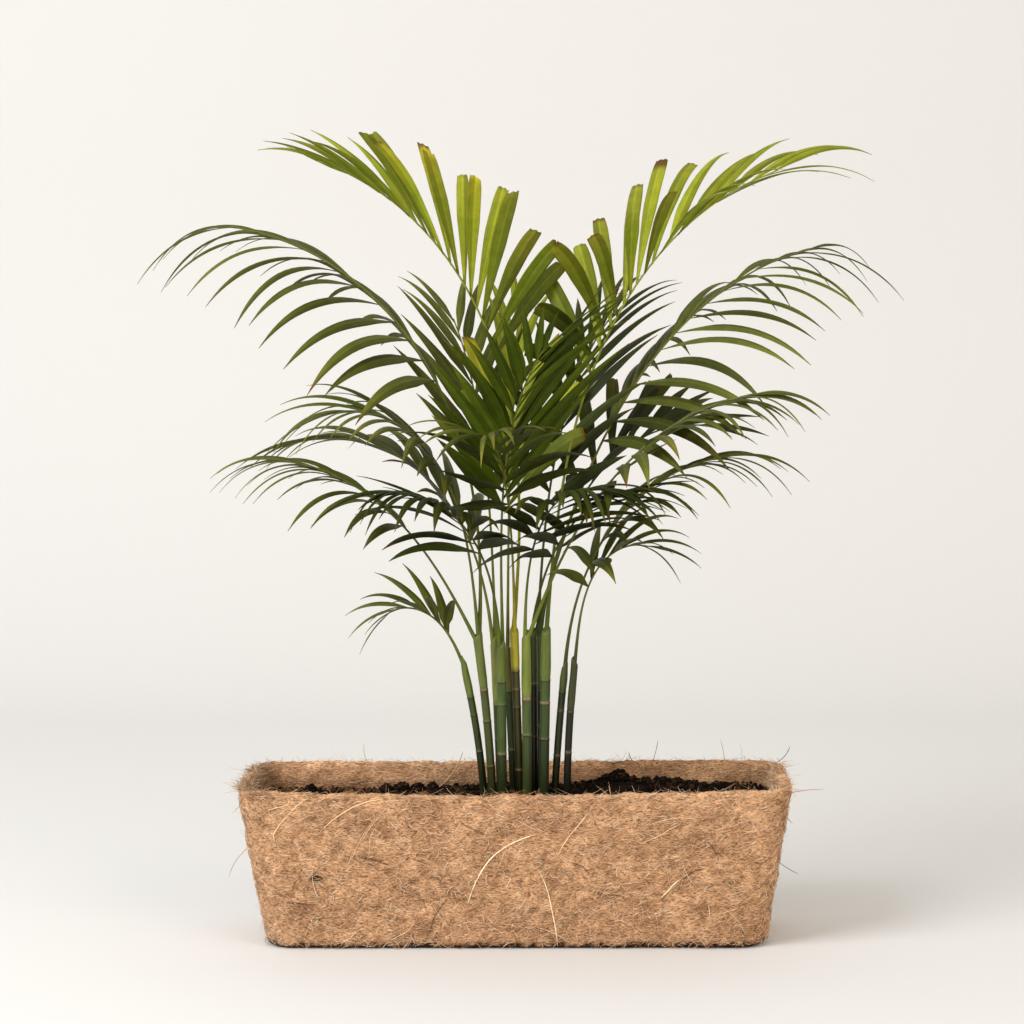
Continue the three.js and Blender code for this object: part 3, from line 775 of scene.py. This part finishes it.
def cane_profile(name, cane):
    """Heights up a cane and its radius there: rings, sheath and the rounded lip of its mouth."""
    top = cane["top"][2]
    start = max(cane["scars"]) + SHEATH_START
    rings = [scar + np.linspace(-2.4, 2.4, 9) for scar in cane["scars"]]
    lip = top + np.array([1.5, 3.0, 4.2, 5.0])
    stem = np.linspace(SOIL_LEVEL - CANE_DEPTH, top, 60)
    z = np.unique(np.concatenate([stem, *rings, lip]))
    swell = np.ones(len(z))
    for scar in cane["scars"]:
        swell += 0.07 * bell(z - scar) - 0.03 * bell((z - scar - 3) / 2)
    sheath = clamp((z - start + SHEATH_START) / SHEATH_START)
    share = clamp((z - start) / (top - start))
    radii = cane["radius"] * swell * (1 + 0.08 * sheath)
    radii = lerp(radii, mouth_radius(name, cane) - 0.3, share**1.5)
    return z, radii * np.sqrt(np.maximum(0.02, 1 - (np.clip(z - top, 0, 5) / 5.1) ** 2))


def cane_tint(name, cane, points, height, turn):
    """A stem with painted shade darkening it towards its foot, a smooth sheath, and at each ring a
    scar and often a bud.
    """
    key, scars = ord(name), cane["scars"]
    stem, smooth = SKINS[name]
    uneven = 0.5 * noise(points, 4, 5)[:, None]
    joints = sum((height + uneven > scar).astype(int) for scar in scars)
    tones = [
        lerp(0.66, 1.2, k / len(scars)) + 0.14 * draw(key + 31 * k)
        for k in range(len(scars) + 1)
    ]
    # painted shade: the stems darken towards the soil, where the canes shade each other
    foot_shade = lerp(0.5, 1.0, clamp((height - SOIL_LEVEL) / 80))
    tint = lerp(stem * np.array(tones)[joints] * foot_shade, smooth, clamp((height - max(scars)) / 6))
    for k, scar in enumerate(scars):
        off = height + uneven - scar
        pale = 0.45 + 0.4 * draw(key + 5 * k)
        wide = 1.3 + 0.8 * draw(key + 13 * k)
        tint = tint * (1 + 0.3 * (off > 0) * np.exp(-np.maximum(off, 0) / 9))
        tint = lerp(tint, SCAR, max(0.1, pale) * bell(off / wide))
        tint = lerp(tint, SCAR_DARK, 0.7 * bell((off + wide) / 0.8))
        bud = np.cos(turn - math.pi * 1.5 - 0.5 * draw(key + 9 * k)) - 1
        spot = np.exp(bud / 0.06 - ((off - 2.5) / 2.6) ** 2) * (draw(key + 7 * k) > 0.2)
        tint = lerp(tint, BUD, 0.8 * spot)
    tint = tint * (0.84 + 0.13 * noise(points * [1, 1, 0.25], 5)[:, None])
    return lerp(tint, SCAR_DARK, 0.5 * clamp(noise(points, 9, 3)[:, None] - 0.5))


def cane_mesh(name, cane):
    """A ringed cane with a smooth sheath that closes on its stalks, higher on one side."""
    z, radii = cane_profile(name, cane)
    line = np.array([cane_at(cane, h) for h in z])
    points, quads, ends = tubes(line[None], radii[None], CANE_SIDES)
    height = np.repeat(z, CANE_SIDES)[:, None]
    turn = np.tile(2 * np.pi * np.arange(CANE_SIDES) / CANE_SIDES, len(z))[:, None]
    tongue = 0.5 + 0.5 * np.cos(turn + 3 * draw(ord(name) + 1))
    points[:, 2:] += TONGUE * tongue * clamp((height - cane["top"][2] + 12) / 12) ** 2
    tint = cane_tint(name, cane, points, height, turn)
    piece(f"cane_{name}_fine", points, [quads, ends], CANE, [f"cane_{name}"], tint)


# ---- Trough ---------------------------------------------------------------------------------
COIR = linear(228, 184, 144)
COIR_DARK = linear(150, 110, 78)
COIR_GREY = linear(172, 160, 146)
# the colour of the felt's painted shade
COIR_SHADE = linear(58, 40, 26)
AROUND = 620
TEAR = (-214, 80)  # x and height of a small tear in the front


def plan(a, length, depth, corner):
    """Points and outward directions of a rounded rectangle for shares 0 to 1 round it."""
    x, y = length / 2 - corner, depth / 2 - corner
    arc = math.pi * corner / 2
    lengths = [2 * x, arc, 2 * y, arc, 2 * x, arc, 2 * y, arc]
    ends = np.concatenate([[0], np.cumsum(lengths)])
    s = np.mod(a, 1) * ends[-1]
    k = np.clip(np.searchsorted(ends, s, side="right") - 1, 0, 7)
    f = (s - ends[k]) / np.array(lengths)[k]
    quarter = k // 2
    turn = np.pi / 2 * (quarter - 1) + np.where(k % 2 == 1, f * np.pi / 2, 0)
    out = np.stack([np.cos(turn), np.sin(turn)], -1)
    starts = np.array([[-x, -y], [x, -y], [x, y], [-x, y]])
    corners = np.array([[x, -y], [x, y], [-x, y], [-x, -y]])
    travel = np.stack([-np.sin(turn), np.cos(turn)], -1)
    span = np.array([2 * x, 2 * y, 2 * x, 2 * y])[quarter]
    straight = starts[quarter] + travel * (f * span)[:, None]
    centre = np.where((k % 2 == 1)[:, None], corners[quarter], straight)
    return centre + out * corner, out


def wall_point(a, z, inset=0.0, off=0.0):
    """A point of the trough's wall, off it by some way, and the wall's outward direction."""
    a, z, inset, off = np.broadcast_arrays(*(np.asarray(v, float) for v in (a, z, inset, off)))
    share = clamp(z / HEIGHT)
    points = np.empty((len(a), 3))
    outs = np.zeros((len(a), 3))
    foot, foot_out = plan(a, FOOT_LENGTH, FOOT_DEPTH, CORNER)
    rim, _ = plan(a, RIM_LENGTH, RIM_DEPTH, CORNER)
    points[:, :2] = lerp(foot, rim, share[:, None]) + foot_out * (off - inset)[:, None]
    outs[:, :2] = foot_out
    middle = np.maximum(0, np.cos(np.pi * points[:, 0] / RIM_LENGTH))
    sag = np.where(points[:, 1] < 0, RIM_SAG * middle * share**4, 0)
    bulge = 1.4 * np.sin(points[:, 0] / 47 + z / 31) * np.sin(np.pi * share)
    bulge = bulge * np.abs(foot_out[:, 1]) * (inset < WALL / 2)
    points[:, 1] += np.sign(foot_out[:, 1]) * bulge
    points[:, 2] = z - sag
    return points, outs


def felt(points):
    """How far the matted felt stands out at each point."""
    return (
        1.4 * noise(points, 23, 1)
        + 1.1 * noise(points, 8, 2)
        + 0.7 * noise(points * [1, 1, 1.8], 3.4, 3)
    )


def creases(points):
    """Where the layers of the felt part in short curved lines, 0 to 1."""
    line = bell(noise(points * [1, 1, 2.2], 30, 31) / 0.05)
    return line * clamp(noise(points, 26, 32) * 2.5)


def felt_shade(points, inset):
    """How dark the felt is: painted shade along the foot, in the small tear, in the creases and
    inside the trough, and darker low on the inner wall near the soil.
    """
    # painted shade: a contact shadow along the foot
    foot = clamp((6.5 + 4.5 * noise(points, 6, 21) - points[:, 2]) / 2)
    # painted shade in the small tear
    tear = np.exp(-(((points[:, 0] - TEAR[0]) / 7) ** 2) - ((points[:, 2] - TEAR[1]) / 3.5) ** 2)
    tear = tear * (points[:, 1] < 0) * (inset < WALL / 2)
    shade = np.maximum(foot, np.minimum(1, 1.8 * tear))
    # painted shade in the creases
    shade = np.maximum(shade, 0.55 * creases(points))
    if inset > WALL / 2:
        # painted shade inside the trough, in its left corner and on the back wall at the right
        corner = clamp((-points[:, 0] - RIM_LENGTH / 2 + 42) / 18)
        right = clamp((points[:, 0] - 95) / 60) * (points[:, 1] > 0)
        # darker low on the inner wall, near the soil
        near_soil = clamp((SOIL_LEVEL + 14 - points[:, 2]) / 14)
        mottle = 0.6 + 0.4 * noise(points, 7, 23)
        shade = np.maximum(shade, (0.75 * corner + 0.35 * right) * mottle)
        shade = np.maximum(shade, 0.5 * near_soil)
    return clamp(shade)


def felt_tint(points, rough, inset, z):
    """Painted light where the felt stands out and painted shade in its hollows, a little darker
    towards the bottom, with greyish patches low down and dark parts.
    """
    # painted light and shade from the felt's relief: lighter where it stands out, darker in its
    # hollows
    shade = clamp(0.5 + 0.35 * rough + 0.25 * noise(points, 40, 9))[:, None]
    low = lerp(0.9, 1.0, min(1, z / 60))
    tint = lerp(COIR_DARK, COIR, 0.35 + 0.65 * shade) * low
    grey = clamp(noise(points, 34, 11) - 0.35)[:, None] * (z < 60)
    tint = lerp(tint, COIR_GREY, 0.8 * grey)
    return lerp(tint, COIR_SHADE, felt_shade(points, inset)[:, None])


def trough_profile():
    """How far in and how high the felt runs, from the foot over the rim to the floor inside."""
    foot = [(9, 0), (5.2, 0.8), (2.6, 2.8), (1, 6)]
    outside = [(0, z) for z in np.linspace(10, HEIGHT - 4, 66)]
    rim = [(0.8, HEIGHT - 2), (2.6, HEIGHT - 0.7), (5, HEIGHT), (7.4, HEIGHT), (9.8, HEIGHT - 1)]
    inside = [(WALL, z) for z in np.linspace(HEIGHT - 4, SOIL_LEVEL - 16, 14)]
    return foot + outside + rim + inside + [(WALL, WALL)]


def trough():
    """The felt wall, inside and out, with a ragged rim."""
    a = np.arange(AROUND) / AROUND
    rows, tints = [], []
    for inset, z in trough_profile():
        points, outs = wall_point(a, z, inset)
        rough = felt(points) * (0.3 if z < 1 or z == WALL else 1)
        ragged = 1.6 * noise(points, 13, 5) + 1.2 * noise(points, 4, 6)
        inward = -1 if inset > WALL - 3 else 1
        points = points + outs * (rough * inward - creases(points))[:, None]
        points[:, 2] += ragged * max(0.0, 1 - (HEIGHT - z) / 6)
        points[:, 2] = np.maximum(points[:, 2], 0)
        rows.append(points)
        tints.append(felt_tint(points, rough, inset, z))
    points, faces = capped(rows, rows[0].mean(0) * [1, 1, 0], rows[-1].mean(0))
    tint = np.vstack([*tints, COIR_DARK, COIR_DARK])
    piece("trough_felt", points, faces, FELT, ["trough"], tint)


FIBRE_TONES = np.array(shades(
    (242, 210, 172), (228, 190, 152), (208, 166, 126), (172, 130, 92), (116, 80, 54),
    (248, 228, 198),
))
FIBRE_MIX = (0.18, 0.24, 0.21, 0.17, 0.14, 0.06)  # share of each tone
FIBRE_POINTS = 6
FIBRE_HEIGHTS = (4, 175)


def fibre_mesh(name, lines, radius, thin, sides, share, toward):
    """Many fibres along their lines; each draws a colour and goes some share toward another."""
    count = len(lines)
    radii = rng.uniform(*radius, count)[:, None] * np.array(thin)
    points, quads, ends = tubes(lines, radii, sides)
    pick = rng.choice(len(FIBRE_TONES), count, p=FIBRE_MIX)
    tint = FIBRE_TONES[pick] * (1 + 0.15 * rng.standard_normal((count, 1)))
    tint = lerp(np.clip(tint, 0.01, 1), toward, share)
    tint = np.repeat(tint, FIBRE_POINTS * sides, axis=0)
    piece(name, points, [quads, ends], FIBRE, (), tint)


def wall_fibres(name, shares, count, length, radius, stand, sides=3, pale=0.0):
    """Short curved fibres matted on the outer wall; stand is how far their ends lift off it."""
    around = 2 * (RIM_LENGTH + RIM_DEPTH)
    a = rng.uniform(*shares, count)
    z = rng.uniform(*FIBRE_HEIGHTS, count)
    step = rng.uniform(*length, count) / (FIBRE_POINTS - 1)
    angle = rng.normal(0, 0.6, count) + np.pi * rng.integers(0, 2, count)
    curl = rng.normal(0, 0.7, count)
    lift = rng.uniform(*stand, count)
    lines = np.empty((count, FIBRE_POINTS, 3))
    for k in range(FIBRE_POINTS):
        f = k / (FIBRE_POINTS - 1)
        off = 0.5 + 0.7 * np.sin(np.pi * f) + lift * f**2
        points, outs = wall_point(a, np.clip(z, 0.6, HEIGHT + 3), 0, off)
        points = points + outs * felt(points)[:, None]
        points[:, 2] = np.maximum(points[:, 2], 0.3)
        lines[:, k] = points
        a = a + np.cos(angle + curl * f) * step / around
        z = z + np.sin(angle + curl * f) * step
    fibre_mesh(name, lines, radius, (0.7, 1, 1, 1, 0.8, 0.3), sides, pale, FIBRE_TONES[-1])


# Long strands on the front: x and height of both ends, sideways bow, radius and tone.
STRANDS = [
    (-281, 149, -230, 168, 3, 0.4, "pale"), (-273, 116, -218, 173, 7, 0.55, "pale"),
    (-216, 129, -140, 172, 9, 0.55, "pale"), (-162, 106, -152, 138, 2, 0.4, "pale"),
    (-51, 50, 32, 133, 17, 0.75, "bright"), (-98, 17, -75, 59, 2, 0.5, "dark"),
    (-146, 10, -114, 32, -3, 0.4, "pale"), (-208, 4, -188, 17, 2, 0.4, "pale"),
    (-263, 54, -228, 48, 1, 0.4, "dark"), (-172, 50, -150, 45, 1, 0.4, "dark"),
    (-190, 106, -131, 92, 3, 0.5, "dark"), (-258, 64, -243, 84, 1, 0.4, "dark"),
    (50, 100, 87, 163, 2, 0.5, "pale"), (31, 90, 60, 3, 5, 0.6, "bright"),
    (145, 118, 187, 142, 1, 0.4, "pale"), (178, 57, 199, 79, 2, 0.7, "bright"),
    (199, 79, 221, 92, 1, 0.5, "dark"), (69, 99, 92, 86, 1, 0.5, "dark"),
    (115, 44, 161, 69, 5, 0.35, "tan"), (71, 86, 73, 4, 4, 0.35, "tan"),
    (8, 42, 20, 57, 1, 0.4, "pale"), (20, 128, 60, 104, 3, 0.35, "tan"),
    (-60, 150, -22, 128, -3, 0.35, "dark"), (100, 62, 145, 55, 2, 0.35, "dark"),
    (205, 128, 232, 108, 3, 0.35, "dark"), (-240, 30, -205, 38, 2, 0.35, "dark"),
]
# Strands that stick out of the rim and the sides: both ends, bow, radius and tone.
LOOSE = [
    ((-103, 30, 150), (-61, 60, 194), 8, 0.7, "tan"),
    ((290, 0, 152), (341, -5, 161), -3, 0.4, "tan"),
    ((290, 58, 180), (307, 60, 199), 3, 0.4, "dark"),
    ((293, 0, 150), (306, 0, 122), 3, 0.35, "dark"),
    ((282, 0, 88), (312, -5, 67), 2, 0.35, "dark"),
    ((151, 66, 176), (159, 66, 206), 1, 0.3, "dark"),
    ((234, 66, 176), (229, 66, 206), 1, 0.3, "tan"),
    ((126, 66, 192), (137, 64, 178), 3, 0.4, "dark"),
    ((-284, 0, 104), (-320, -5, 63), 7, 0.35, "tan"),
    ((-166, 66, 176), (-173, 66, 202), -3, 0.3, "tan"),
    ((-292, 0, 152), (-314, -5, 136), 2, 0.35, "tan"),
    ((-280, 30, 176), (-262, 34, 194), 4, 0.3, "tan"),
]
STRAND_TONES = {
    "bright": linear(248, 226, 188),
    "pale": linear(238, 206, 162),
    "tan": linear(184, 142, 100),
    "dark": linear(98, 68, 44),
}
STRAND_POINTS = 24
STRAND_SIDES = 8


def strand(pile, points, radius, tone):
    """One strand along the given points, thin at both ends."""
    f = np.linspace(0, 1, len(points))
    thin = radius * np.minimum(1, 4 * f + 0.3) * np.minimum(1, 4 * (1 - f) + 0.3)
    shape, quads, ends = tubes(points[None], thin[None], STRAND_SIDES)
    pile.add(shape, [quads, ends], STRAND_TONES[tone] * (1 + 0.15 * noise(shape, 14)[:, None]))


def strands():
    """Long strands that lie on the felt of the front, and others that stick out of the trough."""
    pile = Pile()
    f = np.linspace(0, 1, STRAND_POINTS)
    spans = plan_shares()
    for number, (x0, z0, x1, z1, bow, radius, tone) in enumerate(STRANDS):
        size = math.hypot(x1 - x0, z1 - z0)
        arc = 4 * bow * f * (1 - f) + 0.8 * np.sin(7 * f + number)
        x = lerp(x0, x1, f) - arc * (z1 - z0) / size
        z = lerp(z0, z1, f) + arc * (x1 - x0) / size
        a = np.interp(x, *spans)
        points, outs = wall_point(a, np.clip(z, 1, HEIGHT), 0, 0.4 + 0.9 * np.sin(math.pi * f))
        strand(pile, points + outs * felt(points)[:, None], radius, tone)
    for start, end, bow, radius, tone in LOOSE:
        start, end = np.array(start, float), np.array(end, float)
        sideways = unit(np.cross(end - start, [0, 1, 0]))
        points = lerp(start, end, f[:, None]) - sideways * (4 * bow * f * (1 - f))[:, None]
        strand(pile, points, radius, tone)
    pile.piece("trough_strands", FIBRE, "coir")


def plan_shares():
    """x along the front and the share round the trough at which it lies, for reading one off."""
    a = np.linspace(0, 0.42, 400)
    points, outs = plan(a, RIM_LENGTH, RIM_DEPTH, CORNER)
    front = outs[:, 1] < -0.5
    return points[front, 0], a[front]


def rim_fibres(name, shares, count, length, dark=0.0):
    """Fibres that stand up and out of the rim, and lie on the inner wall above the soil; dark is
    how much painted shade darkens them.
    """
    a = rng.uniform(*shares, count)
    inset = rng.uniform(0, WALL, count)
    inner = rng.random(count) < 0.45
    z = np.where(inner, rng.uniform(SOIL_LEVEL, HEIGHT - 4, count), HEIGHT - 1.5)
    inset = np.where(inner, WALL + 0.5, inset)
    start, outs = wall_point(a, z, inset)
    lean = outs * rng.normal(0.1, 0.8, (count, 1)) * np.where(inset > WALL, -0.3, 1)[:, None]
    travel = np.stack([-outs[:, 1], outs[:, 0], np.zeros(count)], -1)
    sideways = travel * rng.normal(0, 1.5, (count, 1))
    upward = [0, 0, 0.35] * rng.random((count, 1))
    go = unit(lean + sideways + upward)
    size = rng.uniform(*length, count)[:, None]
    curl = rng.normal(0, 0.8, (count, 3)) * [1, 1, 0.5]
    f = np.linspace(0, 1, FIBRE_POINTS)[None, :, None]
    lines = start[:, None] + size[:, None] * (go[:, None] * f + 0.5 * curl[:, None] * f**2)
    fibre_mesh(name, lines, (0.1, 0.22), (1, 1, 1, 0.9, 0.7, 0.3), 3, dark, COIR_SHADE)


# ---- Soil -----------------------------------------------------------------------------------
HUMPS = [  # middle x and y, spread and height of each heap of loose mix
    (112, 34, 34, 15), (172, 30, 30, 10), (215, 12, 26, 7), (70, -8, 30, 6), (-90, 30, 34, 8),
    (-150, 8, 30, 7), (-232, 20, 28, 8), (-190, 42, 22, 5), (0, 0, 60, 4),
]
MIX = linear(21, 15, 11)
MIX_LIGHT = linear(70, 50, 34)
CLODS = [  # x, y and size of the biggest lumps
    (114, 34, 15), (129, 32, 9), (101, 36, 9), (166, 34, 10), (180, 32, 10), (194, 32, 10),
    (208, 30, 8), (220, 26, 6), (146, 34, 7), (-128, 30, 10), (-110, 32, 8), (-146, 30, 8),
    (-94, 30, 6), (-230, 26, 5),
]
CLOD_CRUMBS = 90
LOOSE_CRUMBS = 3400
PRESSED = 5  # how far the mix sinks where nothing of it is loose
MIX_AROUND = 500
MIX_UNDER = SOIL_LEVEL - 40  # the height at which the surface is closed underneath


def soil_height(x, y):
    """Height of the mix before its lumps: ripples and heaps."""
    total = SOIL_LEVEL + 1.6 * np.sin(x / 9 + 1) * np.sin(y / 7 + x / 23)
    for cx, cy, spread, rise in HUMPS:
        total = total + rise * np.exp(-((x - cx) ** 2 + (y - cy) ** 2) / spread**2)
    return total


def looseness(x):
    """The mix is pressed flat at the left end and loose from the canes on to the right."""
    return lerp(0.4, 1.0, clamp((x + 90) / 60))


def fibre_dust(points):
    """Patches of fibre dust that lie in the hollows of the mix at the left end, 0 to 1."""
    left = clamp((-40 - points[:, 0]) / 60)
    low = clamp((SOIL_LEVEL + 5 - points[:, 2]) / 3)
    near_wall = 0.6 * clamp((np.abs(points[:, 1]) - 15) / 40)
    patches = clamp(2 * noise(points, 17, 41) + 1.2 * noise(points, 6, 42) + near_wall)
    return left * low * patches


def soil():
    """The lumpy surface of the mix, closed underneath, and loose crumbs on it."""
    share = SOIL_LEVEL / HEIGHT
    length = lerp(FOOT_LENGTH, RIM_LENGTH, share) - 2 * WALL + 3
    depth = lerp(FOOT_DEPTH, RIM_DEPTH, share) - 2 * WALL + 3
    edge, _ = plan(np.arange(MIX_AROUND) / MIX_AROUND, length, depth, CORNER - 0.6 * WALL)
    rows = [np.column_stack([edge * 0.98, np.full(MIX_AROUND, MIX_UNDER)])]
    for s in [*np.linspace(1, 0.06, 44), 0.002]:
        x = edge[:, 0] * (s + 0.1 * (1 - s)) if s > 0.01 else edge[:, 0] * 0.02
        y = edge[:, 1] * s
        flat = np.column_stack([x, y, np.zeros(MIX_AROUND)])
        lump = 2.6 * noise(flat, 11, 2) + 1.8 * noise(flat, 5, 3) + 1.2 * noise(flat, 2.6, 4)
        lump = lump * looseness(x) - PRESSED * (1 - looseness(x))
        fall = -3 * max(0.0, (s - 0.95) / 0.05)
        rows.append(np.column_stack([x, y, soil_height(x, y) + lump + fall]))
    points, faces = capped(rows, [0, 0, MIX_UNDER], rows[-1].mean(0))
    tint = lerp(MIX, MIX_LIGHT, clamp(0.25 * noise(points, 4, 8) + 0.1)[:, None])
    tint = lerp(tint, COIR_DARK, 0.65 * fibre_dust(points)[:, None])
    piece("soil_surface", points, faces, SOIL, ["soil"], tint)
    crumbs(length, depth)


def icosahedron():
    """Corners and outward triangles of an icosahedron."""
    golden = (1 + 5**0.5) / 2
    upper = [(-1, golden, 0), (1, golden, 0), (0, -1, golden), (0, 1, golden), (golden, 0, -1),
             (golden, 0, 1)]
    corners = np.array([np.multiply(sign, p) for p in upper for sign in (1, -1)]) / golden / 1.2
    edge = np.linalg.norm(corners[0] - corners[2])
    faces = []
    for i, j, k in itertools.combinations(range(12), 3):
        a, b, c = corners[[i, j, k]]
        if max(np.linalg.norm([a - b, b - c, c - a], axis=1)) < 1.3 * edge:
            out = np.cross(b - a, c - a) @ (a + b + c)
            faces.append((i, j, k) if out > 0 else (i, k, j))
    return corners, np.array(faces)


def crumbs(length, depth):
    """Crumbs of peat, bark and fibre scattered on the mix, and heaped into clods."""
    count = LOOSE_CRUMBS + CLOD_CRUMBS * len(CLODS)
    x = rng.uniform(-length / 2 + 6, length / 2 - 6, count)
    y = rng.uniform(-depth / 2 + 5, depth / 2 - 5, count)
    size = (rng.gamma(2.0, 0.7, count) + 0.5) * looseness(x)
    lift = 0.4 * size + 0.5 - PRESSED * (1 - looseness(x))
    lumps = np.repeat(np.array(CLODS, float), CLOD_CRUMBS, axis=0)
    away = unit(rng.standard_normal((len(lumps), 3))) * lumps[:, 2:] * 0.8
    clustered = slice(0, len(lumps))
    x[clustered] = lumps[:, 0] + away[:, 0]
    y[clustered] = lumps[:, 1] + away[:, 1]
    size[clustered] = rng.uniform(1.5, 3.5, len(lumps))
    ground = soil_height(x, y) + lift
    ground[clustered] = soil_height(lumps[:, 0], lumps[:, 1]) - 3 + np.abs(away[:, 2])
    corners, hull = icosahedron()
    uneven = rng.uniform(0.6, 1.25, (count, 12, 1))
    stretch = rng.uniform(0.6, 1.3, (count, 1, 3))
    shape = corners[None] * uneven * stretch
    centre = np.column_stack([x, y, ground])
    points = (centre[:, None] + shape * size[:, None, None]).reshape(-1, 3)
    faces = (np.arange(count)[:, None, None] * 12 + hull).reshape(-1, 3)
    light = rng.random((count, 1)) ** 5
    tint = np.repeat(lerp(MIX, MIX_LIGHT * 1.3, light), 12, axis=0)
    piece("soil_crumbs", points, [faces], SOIL, (), tint)


# ---- Building it ----------------------------------------------------------------------------
FRONT_SHARE = 0.38  # of the way round the trough
FRONT_FIBRES = 9000
FIBRE_SPANS = {
    "front": (0, FRONT_SHARE),
    "side_right": (FRONT_SHARE, 0.5),
    "back": (0.5, 0.88),
    "side_left": (0.88, 1.0),
}
fronds()
for cane_name, cane_data in CANES.items():
    cane_mesh(cane_name, cane_data)
trough()
for part, (start, end) in FIBRE_SPANS.items():
    amount = int(FRONT_FIBRES * (end - start) / FRONT_SHARE)
    wall_fibres(f"trough_fibres_{part}", (start, end), amount, length=(3, 15),
                radius=(0.12, 0.28), stand=(0, 1.2))
wall_fibres("trough_fuzz", (0, 1), 1500, length=(6, 26), radius=(0.07, 0.14), stand=(1.5, 9))
wall_fibres("trough_strays", (0, 1), 60, length=(30, 70), radius=(0.2, 0.35), stand=(0.4, 5),
            sides=6, pale=0.3)
strands()
rim_fibres("trough_rim_fibres", (0, 1), 3000, length=(5, 20))
# the fibres in the left inner corner are darkened with painted shade, as the felt there is
rim_fibres("trough_corner_fibres", (0.86, 1.0), 2000, length=(4, 12), dark=0.45)
soil()


# ---- Camera, floor and light ----------------------------------------------------------------
# Lengths from here on are metres unless a comment says otherwise, and angles are degrees.
CAMERA_AT = (0.092, -3.160, 0.739)
CAMERA_YAW = 1.7
CAMERA_PITCH = 4.87
CAMERA_ROLL = -0.44
FOCAL_PIXELS = 2889
PICTURE_PIXELS = 1024
SENSOR = 36  # width in millimetres
VIEW_END = 60
FLOOR_FRONT = -6
FLOOR_BACK = 1.5
FLOOR_HALF_WIDTH = 7.0
FLOOR_BEND = 0.9
BEND_STEPS = 12
BACKDROP_TOP = 5
PAPER = (0.716, 0.708, 0.694, 1)
ROOM = (1.0, 0.978, 0.948, 1)
ROOM_STRENGTH = 0.735
LIT_POINT = (0, 0, 0.4)
LIGHT_SIZE = 2.4
LIGHTS = {  # place, power in watts and colour
    "window": ((-2.6, -2.2, 2.6), 150, (0.97, 0.985, 1.0)),
    "fill": ((2.4, -3.0, 1.6), 54, (1.0, 0.83, 0.62)),
}


def camera():
    data = bpy.data.cameras.new("camera")
    data.sensor_width = SENSOR
    data.lens = SENSOR * FOCAL_PIXELS / PICTURE_PIXELS
    data.clip_end = VIEW_END
    made = bpy.data.objects.new("camera", data)
    made.location = CAMERA_AT
    turn = Euler((rad(90 - CAMERA_PITCH), 0, rad(CAMERA_YAW))).to_matrix()
    made.rotation_euler = (turn @ Matrix.Rotation(rad(CAMERA_ROLL), 3, "Z")).to_euler()
    bpy.context.scene.collection.objects.link(made)
    bpy.context.scene.camera = made


def floor():
    """A pale floor that curves up into a backdrop, which is seen through from behind."""
    y = [*range(FLOOR_FRONT, 1, 2), FLOOR_BACK]
    z = [0] * len(y)
    for k in range(1, BEND_STEPS + 1):
        turn = rad(90 * k / BEND_STEPS)
        y.append(FLOOR_BACK + FLOOR_BEND * math.sin(turn))
        z.append(FLOOR_BEND * (1 - math.cos(turn)))
    y.append(FLOOR_BACK + FLOOR_BEND)
    z.append(BACKDROP_TOP)
    mesh = bpy.data.meshes.new("floor")
    sides = (-FLOOR_HALF_WIDTH, FLOOR_HALF_WIDTH)
    points = [(x, *place) for place in zip(y, z) for x in sides]
    faces = [(2 * i, 2 * i + 1, 2 * i + 3, 2 * i + 2) for i in range(len(y) - 1)]
    mesh.from_pydata(points, [], faces)
    mesh.polygons.foreach_set("use_smooth", [True] * len(faces))
    made = bpy.data.objects.new("floor", mesh)
    n = Nodes("paper", 0.8, 0.2)
    n.shader.inputs["Base Color"].default_value = PAPER
    behind = n.new("ShaderNodeNewGeometry").outputs["Backfacing"]
    n.blend(behind, n.new("ShaderNodeBsdfTransparent"))
    mesh.materials.append(n.material)
    bpy.context.scene.collection.objects.link(made)


def soft_light(name, at, power, colour):
    """A round, wide lamp that looks at the plant."""
    data = bpy.data.lights.new(name, "AREA")
    data.shape = "DISK"
    data.size = LIGHT_SIZE
    data.energy = power
    data.color = colour
    made = bpy.data.objects.new(name, data)
    made.location = at
    toward = np.array(LIT_POINT) - np.array(at)
    pitch = math.atan2(math.hypot(toward[0], toward[1]), -toward[2])
    made.rotation_euler = (pitch, 0, math.atan2(toward[0], -toward[1]) + math.pi)
    bpy.context.scene.collection.objects.link(made)


def light():
    """Pale light from all round, a window at the left and a warm fill at the right."""
    bpy.context.scene.view_settings.view_transform = "Standard"
    world = bpy.data.worlds.new("studio")
    world.use_nodes = True
    sky = world.node_tree.nodes["Background"]
    sky.inputs["Color"].default_value = ROOM
    sky.inputs["Strength"].default_value = ROOM_STRENGTH
    bpy.context.scene.world = world
    for name, settings in LIGHTS.items():
        soft_light(name, *settings)


camera()
floor()
light()
